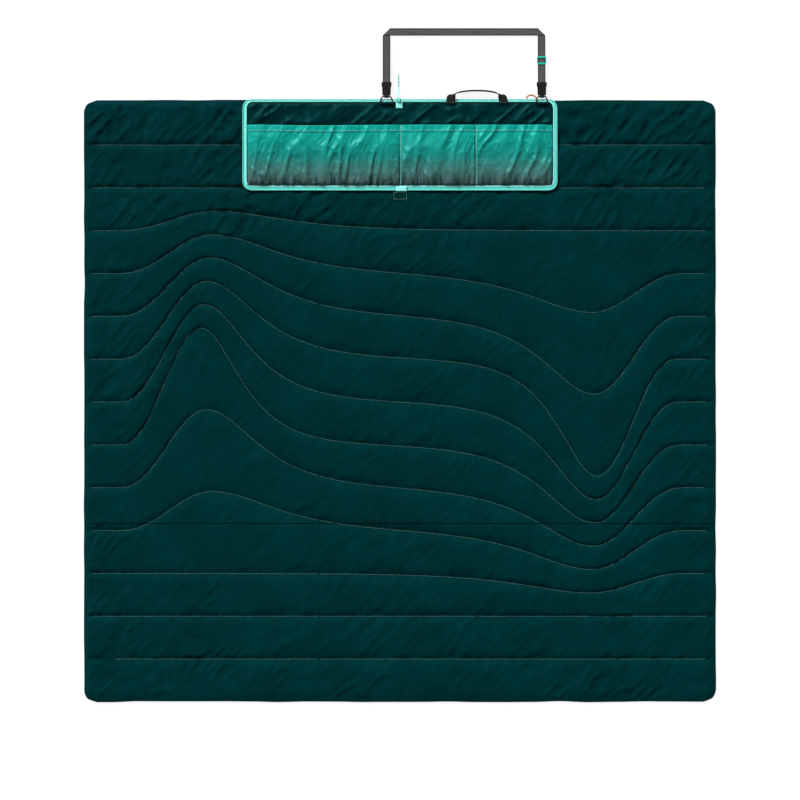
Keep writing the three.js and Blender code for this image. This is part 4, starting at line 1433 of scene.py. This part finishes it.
def make_leg(name, centre, side, nodes):
    """A leg ends on the slanting crease of its corner fold."""
    across = web_across()
    share = np.linspace(0, 1, 60)
    u, t = np.meshgrid(across, share)
    x = centre - side * WEB_HALF + side * u
    end = BAR_INNER + u - 0.3 * MM
    along = LEG_START + t * (end - LEG_START)
    out = 0.25 * MM * ripple(x, along, 30 * MM, 71) * np.sin(math.pi * t)
    uv = np.dstack([u, along])
    made = web_slab(name, x, along, out, uv)
    finished(made, nodes)
    return made


def make_crossbar():
    """The crossbar lies over each leg at the corner folds and sinks to the floor between them."""
    across = web_across()
    left, right = LEFT_X - WEB_HALF, RIGHT_X + WEB_HALF
    even = np.linspace(0, 1, 120)
    fold = (np.linspace(*STRAP_FOLD, 25) - left) / (right - left)
    share = np.unique(np.concatenate([even[(even < fold[0] - 0.004) | (even > fold[-1] + 0.004)], fold]))
    u, t = np.meshgrid(across, share)
    # At each end the bar starts on the crease, which runs at 45 degrees.
    square = left + t * (right - left)
    from_left = np.clip((square - left) / CREASE_REACH, 0, 1)
    from_right = np.clip((right - square) / CREASE_REACH, 0, 1)
    x = square + u * (1 - from_left) - u * (1 - from_right)
    along = BAR_INNER + u
    leg_zone = (2.6 * WEB_HALF, 1.2 * WEB_HALF)
    over = smooth(*leg_zone, x - left) + smooth(*leg_zone, right - x)
    out = 1.45 * MM * over + 0.2 * MM * ripple(x, along, 40 * MM, 72) * (1 - over)
    uv = np.dstack([u, x])
    made = web_slab("strap_crossbar", x, along, out, uv)
    finished(made, ["strap_web_left", "strap_web_right"])
    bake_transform(made)


def make_return():
    """The webbing's end, turned back under the right leg up to the adjuster's middle bar."""
    across = web_across()
    share = np.linspace(0, 1, 40)
    u, t = np.meshgrid(across, share)
    x = RIGHT_X - WEB_HALF + u
    along = LEG_START + t * (RETURN_END - LEG_START)
    out = np.full_like(x, -RETURN_DEPTH)
    made = web_slab("strap_return", x, along, out, np.dstack([u, along]))
    finished(made, ["strap_web_return"])
    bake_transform(made)


def make_strap():
    left = make_leg("strap_leg_left", LEFT_X, 1, ["strap_web_left"])
    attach(left, "strap_left_end")
    right = make_leg("strap_leg_right", RIGHT_X, -1, ["strap_web_right"])
    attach(right, "strap")
    make_crossbar()
    make_return()
    for side, body, centre in (("left", "strap_left_end", LEFT_X), ("right", "strap", RIGHT_X)):
        rows = []
        for s in (38.5 * MM, 41.5 * MM):
            x = np.linspace(centre - 8 * MM, centre + 8 * MM, 12)
            rows.append(strap_points(x, np.full(12, s), np.full(12, WEB_R + 0.1 * MM)))
        sewing = stitches(f"strap_stitches_{side}", rows, 2.6 * MM, 1.9 * MM, 0.25 * MM, "mat_thread")
        finished(sewing)
        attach(sewing, body)


make_strap()


# ---- the grab handle: flat feet that twist into an arch standing on edge ----

# From a foot to the top of the arch, in millimetres: inward from the foot's middle, then Y and Z.
HANDLE_ROUTE = [
    (0, 740.6, 17.1),
    (0.5, 747, 17.4),
    (2, 754, 17.9),
    (7, 761.5, 15.2),
    (16, 767, 12.15),
    (30, 770.4, 11.35),
    (47, 772.5, 11.35),
]


def make_handle():
    low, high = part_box("handle_web")
    left, right = low.x + HANDLE_WIDTH / 2, high.x - HANDLE_WIDTH / 2
    centre = (left + right) / 2
    one = [(left + a * MM, b * MM, c * MM) for a, b, c in HANDLE_ROUTE]
    other = [(2 * centre - a, b, c) for a, b, c in one[::-1]]
    path = smooth_path([*one, (centre, 773 * MM, 11.35 * MM), *other], 1.6 * MM)
    share = np.linspace(0, 1, len(path))
    inward = np.minimum(share, 1 - share)
    turn = smooth(0.045, 0.17, inward)[:, None] * math.pi / 2
    up = np.cos(turn) * np.array([0, 0, 1]) + np.sin(turn) * np.array([0, 1, 0])
    made = sweep("handle_webbing", path, ribbon(HANDLE_WIDTH, 1.8 * MM, 10), up, LOOKS["black_web"])
    finished(made, ["handle_web"])
    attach(made, "handle")
    for name, x in (("left", left), ("right", right)):
        sides = rectangle_sides(x - 8 * MM, x + 8 * MM, 742 * MM, 750 * MM, 18.3 * MM)
        sewing = stitches(f"handle_stitches_{name}", sides, 2.8 * MM, 2.0 * MM, 0.28 * MM, "mat_thread")
        finished(sewing)
        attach(sewing, "handle")


make_handle()


# ---- hard parts that keep their CAD shape ----

def dress(node, look, bevel):
    """The CAD part itself, with a small bevel and its own material."""
    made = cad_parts[node]
    for held in made.material_slots:
        held.link = "OBJECT"
        held.material = LOOKS[look]
    edge = made.modifiers.new("edge", "BEVEL")
    edge.width = bevel
    edge.segments = 2
    edge.limit_method = "ANGLE"
    edge.angle_limit = math.radians(40)


dress("clip_left", "clip_plastic", 0.35 * MM)
dress("clip_right", "clip_plastic", 0.35 * MM)
dress("adjuster", "adjuster_plastic", 0.4 * MM)
dress("zip_slider", "slider_metal", 0.25 * MM)


# ---- floor and light ----

def make_floor():
    half = 5.0
    mesh = bpy.data.meshes.new("floor")
    z = -0.3 * MM
    corners = [(-half, -half, z), (half, -half, z), (half, half, z), (-half, half, z)]
    mesh.from_pydata(corners, [], [(0, 1, 2, 3)])
    layer = mesh.uv_layers.new(name="UVMap")
    for loop in mesh.loops:
        layer.data[loop.index].uv = mesh.vertices[loop.vertex_index].co[:2]
    mesh.materials.append(floor_look())
    floor = bpy.data.objects.new("floor", mesh)
    bpy.context.collection.objects.link(floor)


SKY = 0.28
SUN = 3.9
SUN_LOW = math.radians(56)
SUN_LEFT = math.radians(30)


def make_light():
    scene = bpy.context.scene
    scene.view_settings.view_transform = "Standard"
    world = bpy.data.worlds.new("studio")
    scene.world = world
    world.use_nodes = True
    world.node_tree.nodes["Background"].inputs["Color"].default_value = (1, 1, 1, 1)
    world.node_tree.nodes["Background"].inputs["Strength"].default_value = SKY
    lamp = bpy.data.lights.new("window", "SUN")
    lamp.energy = SUN
    lamp.angle = math.radians(18)
    window = bpy.data.objects.new("window", lamp)
    window.rotation_euler = (-SUN_LOW, 0, SUN_LEFT)
    bpy.context.collection.objects.link(window)


make_floor()
make_light()
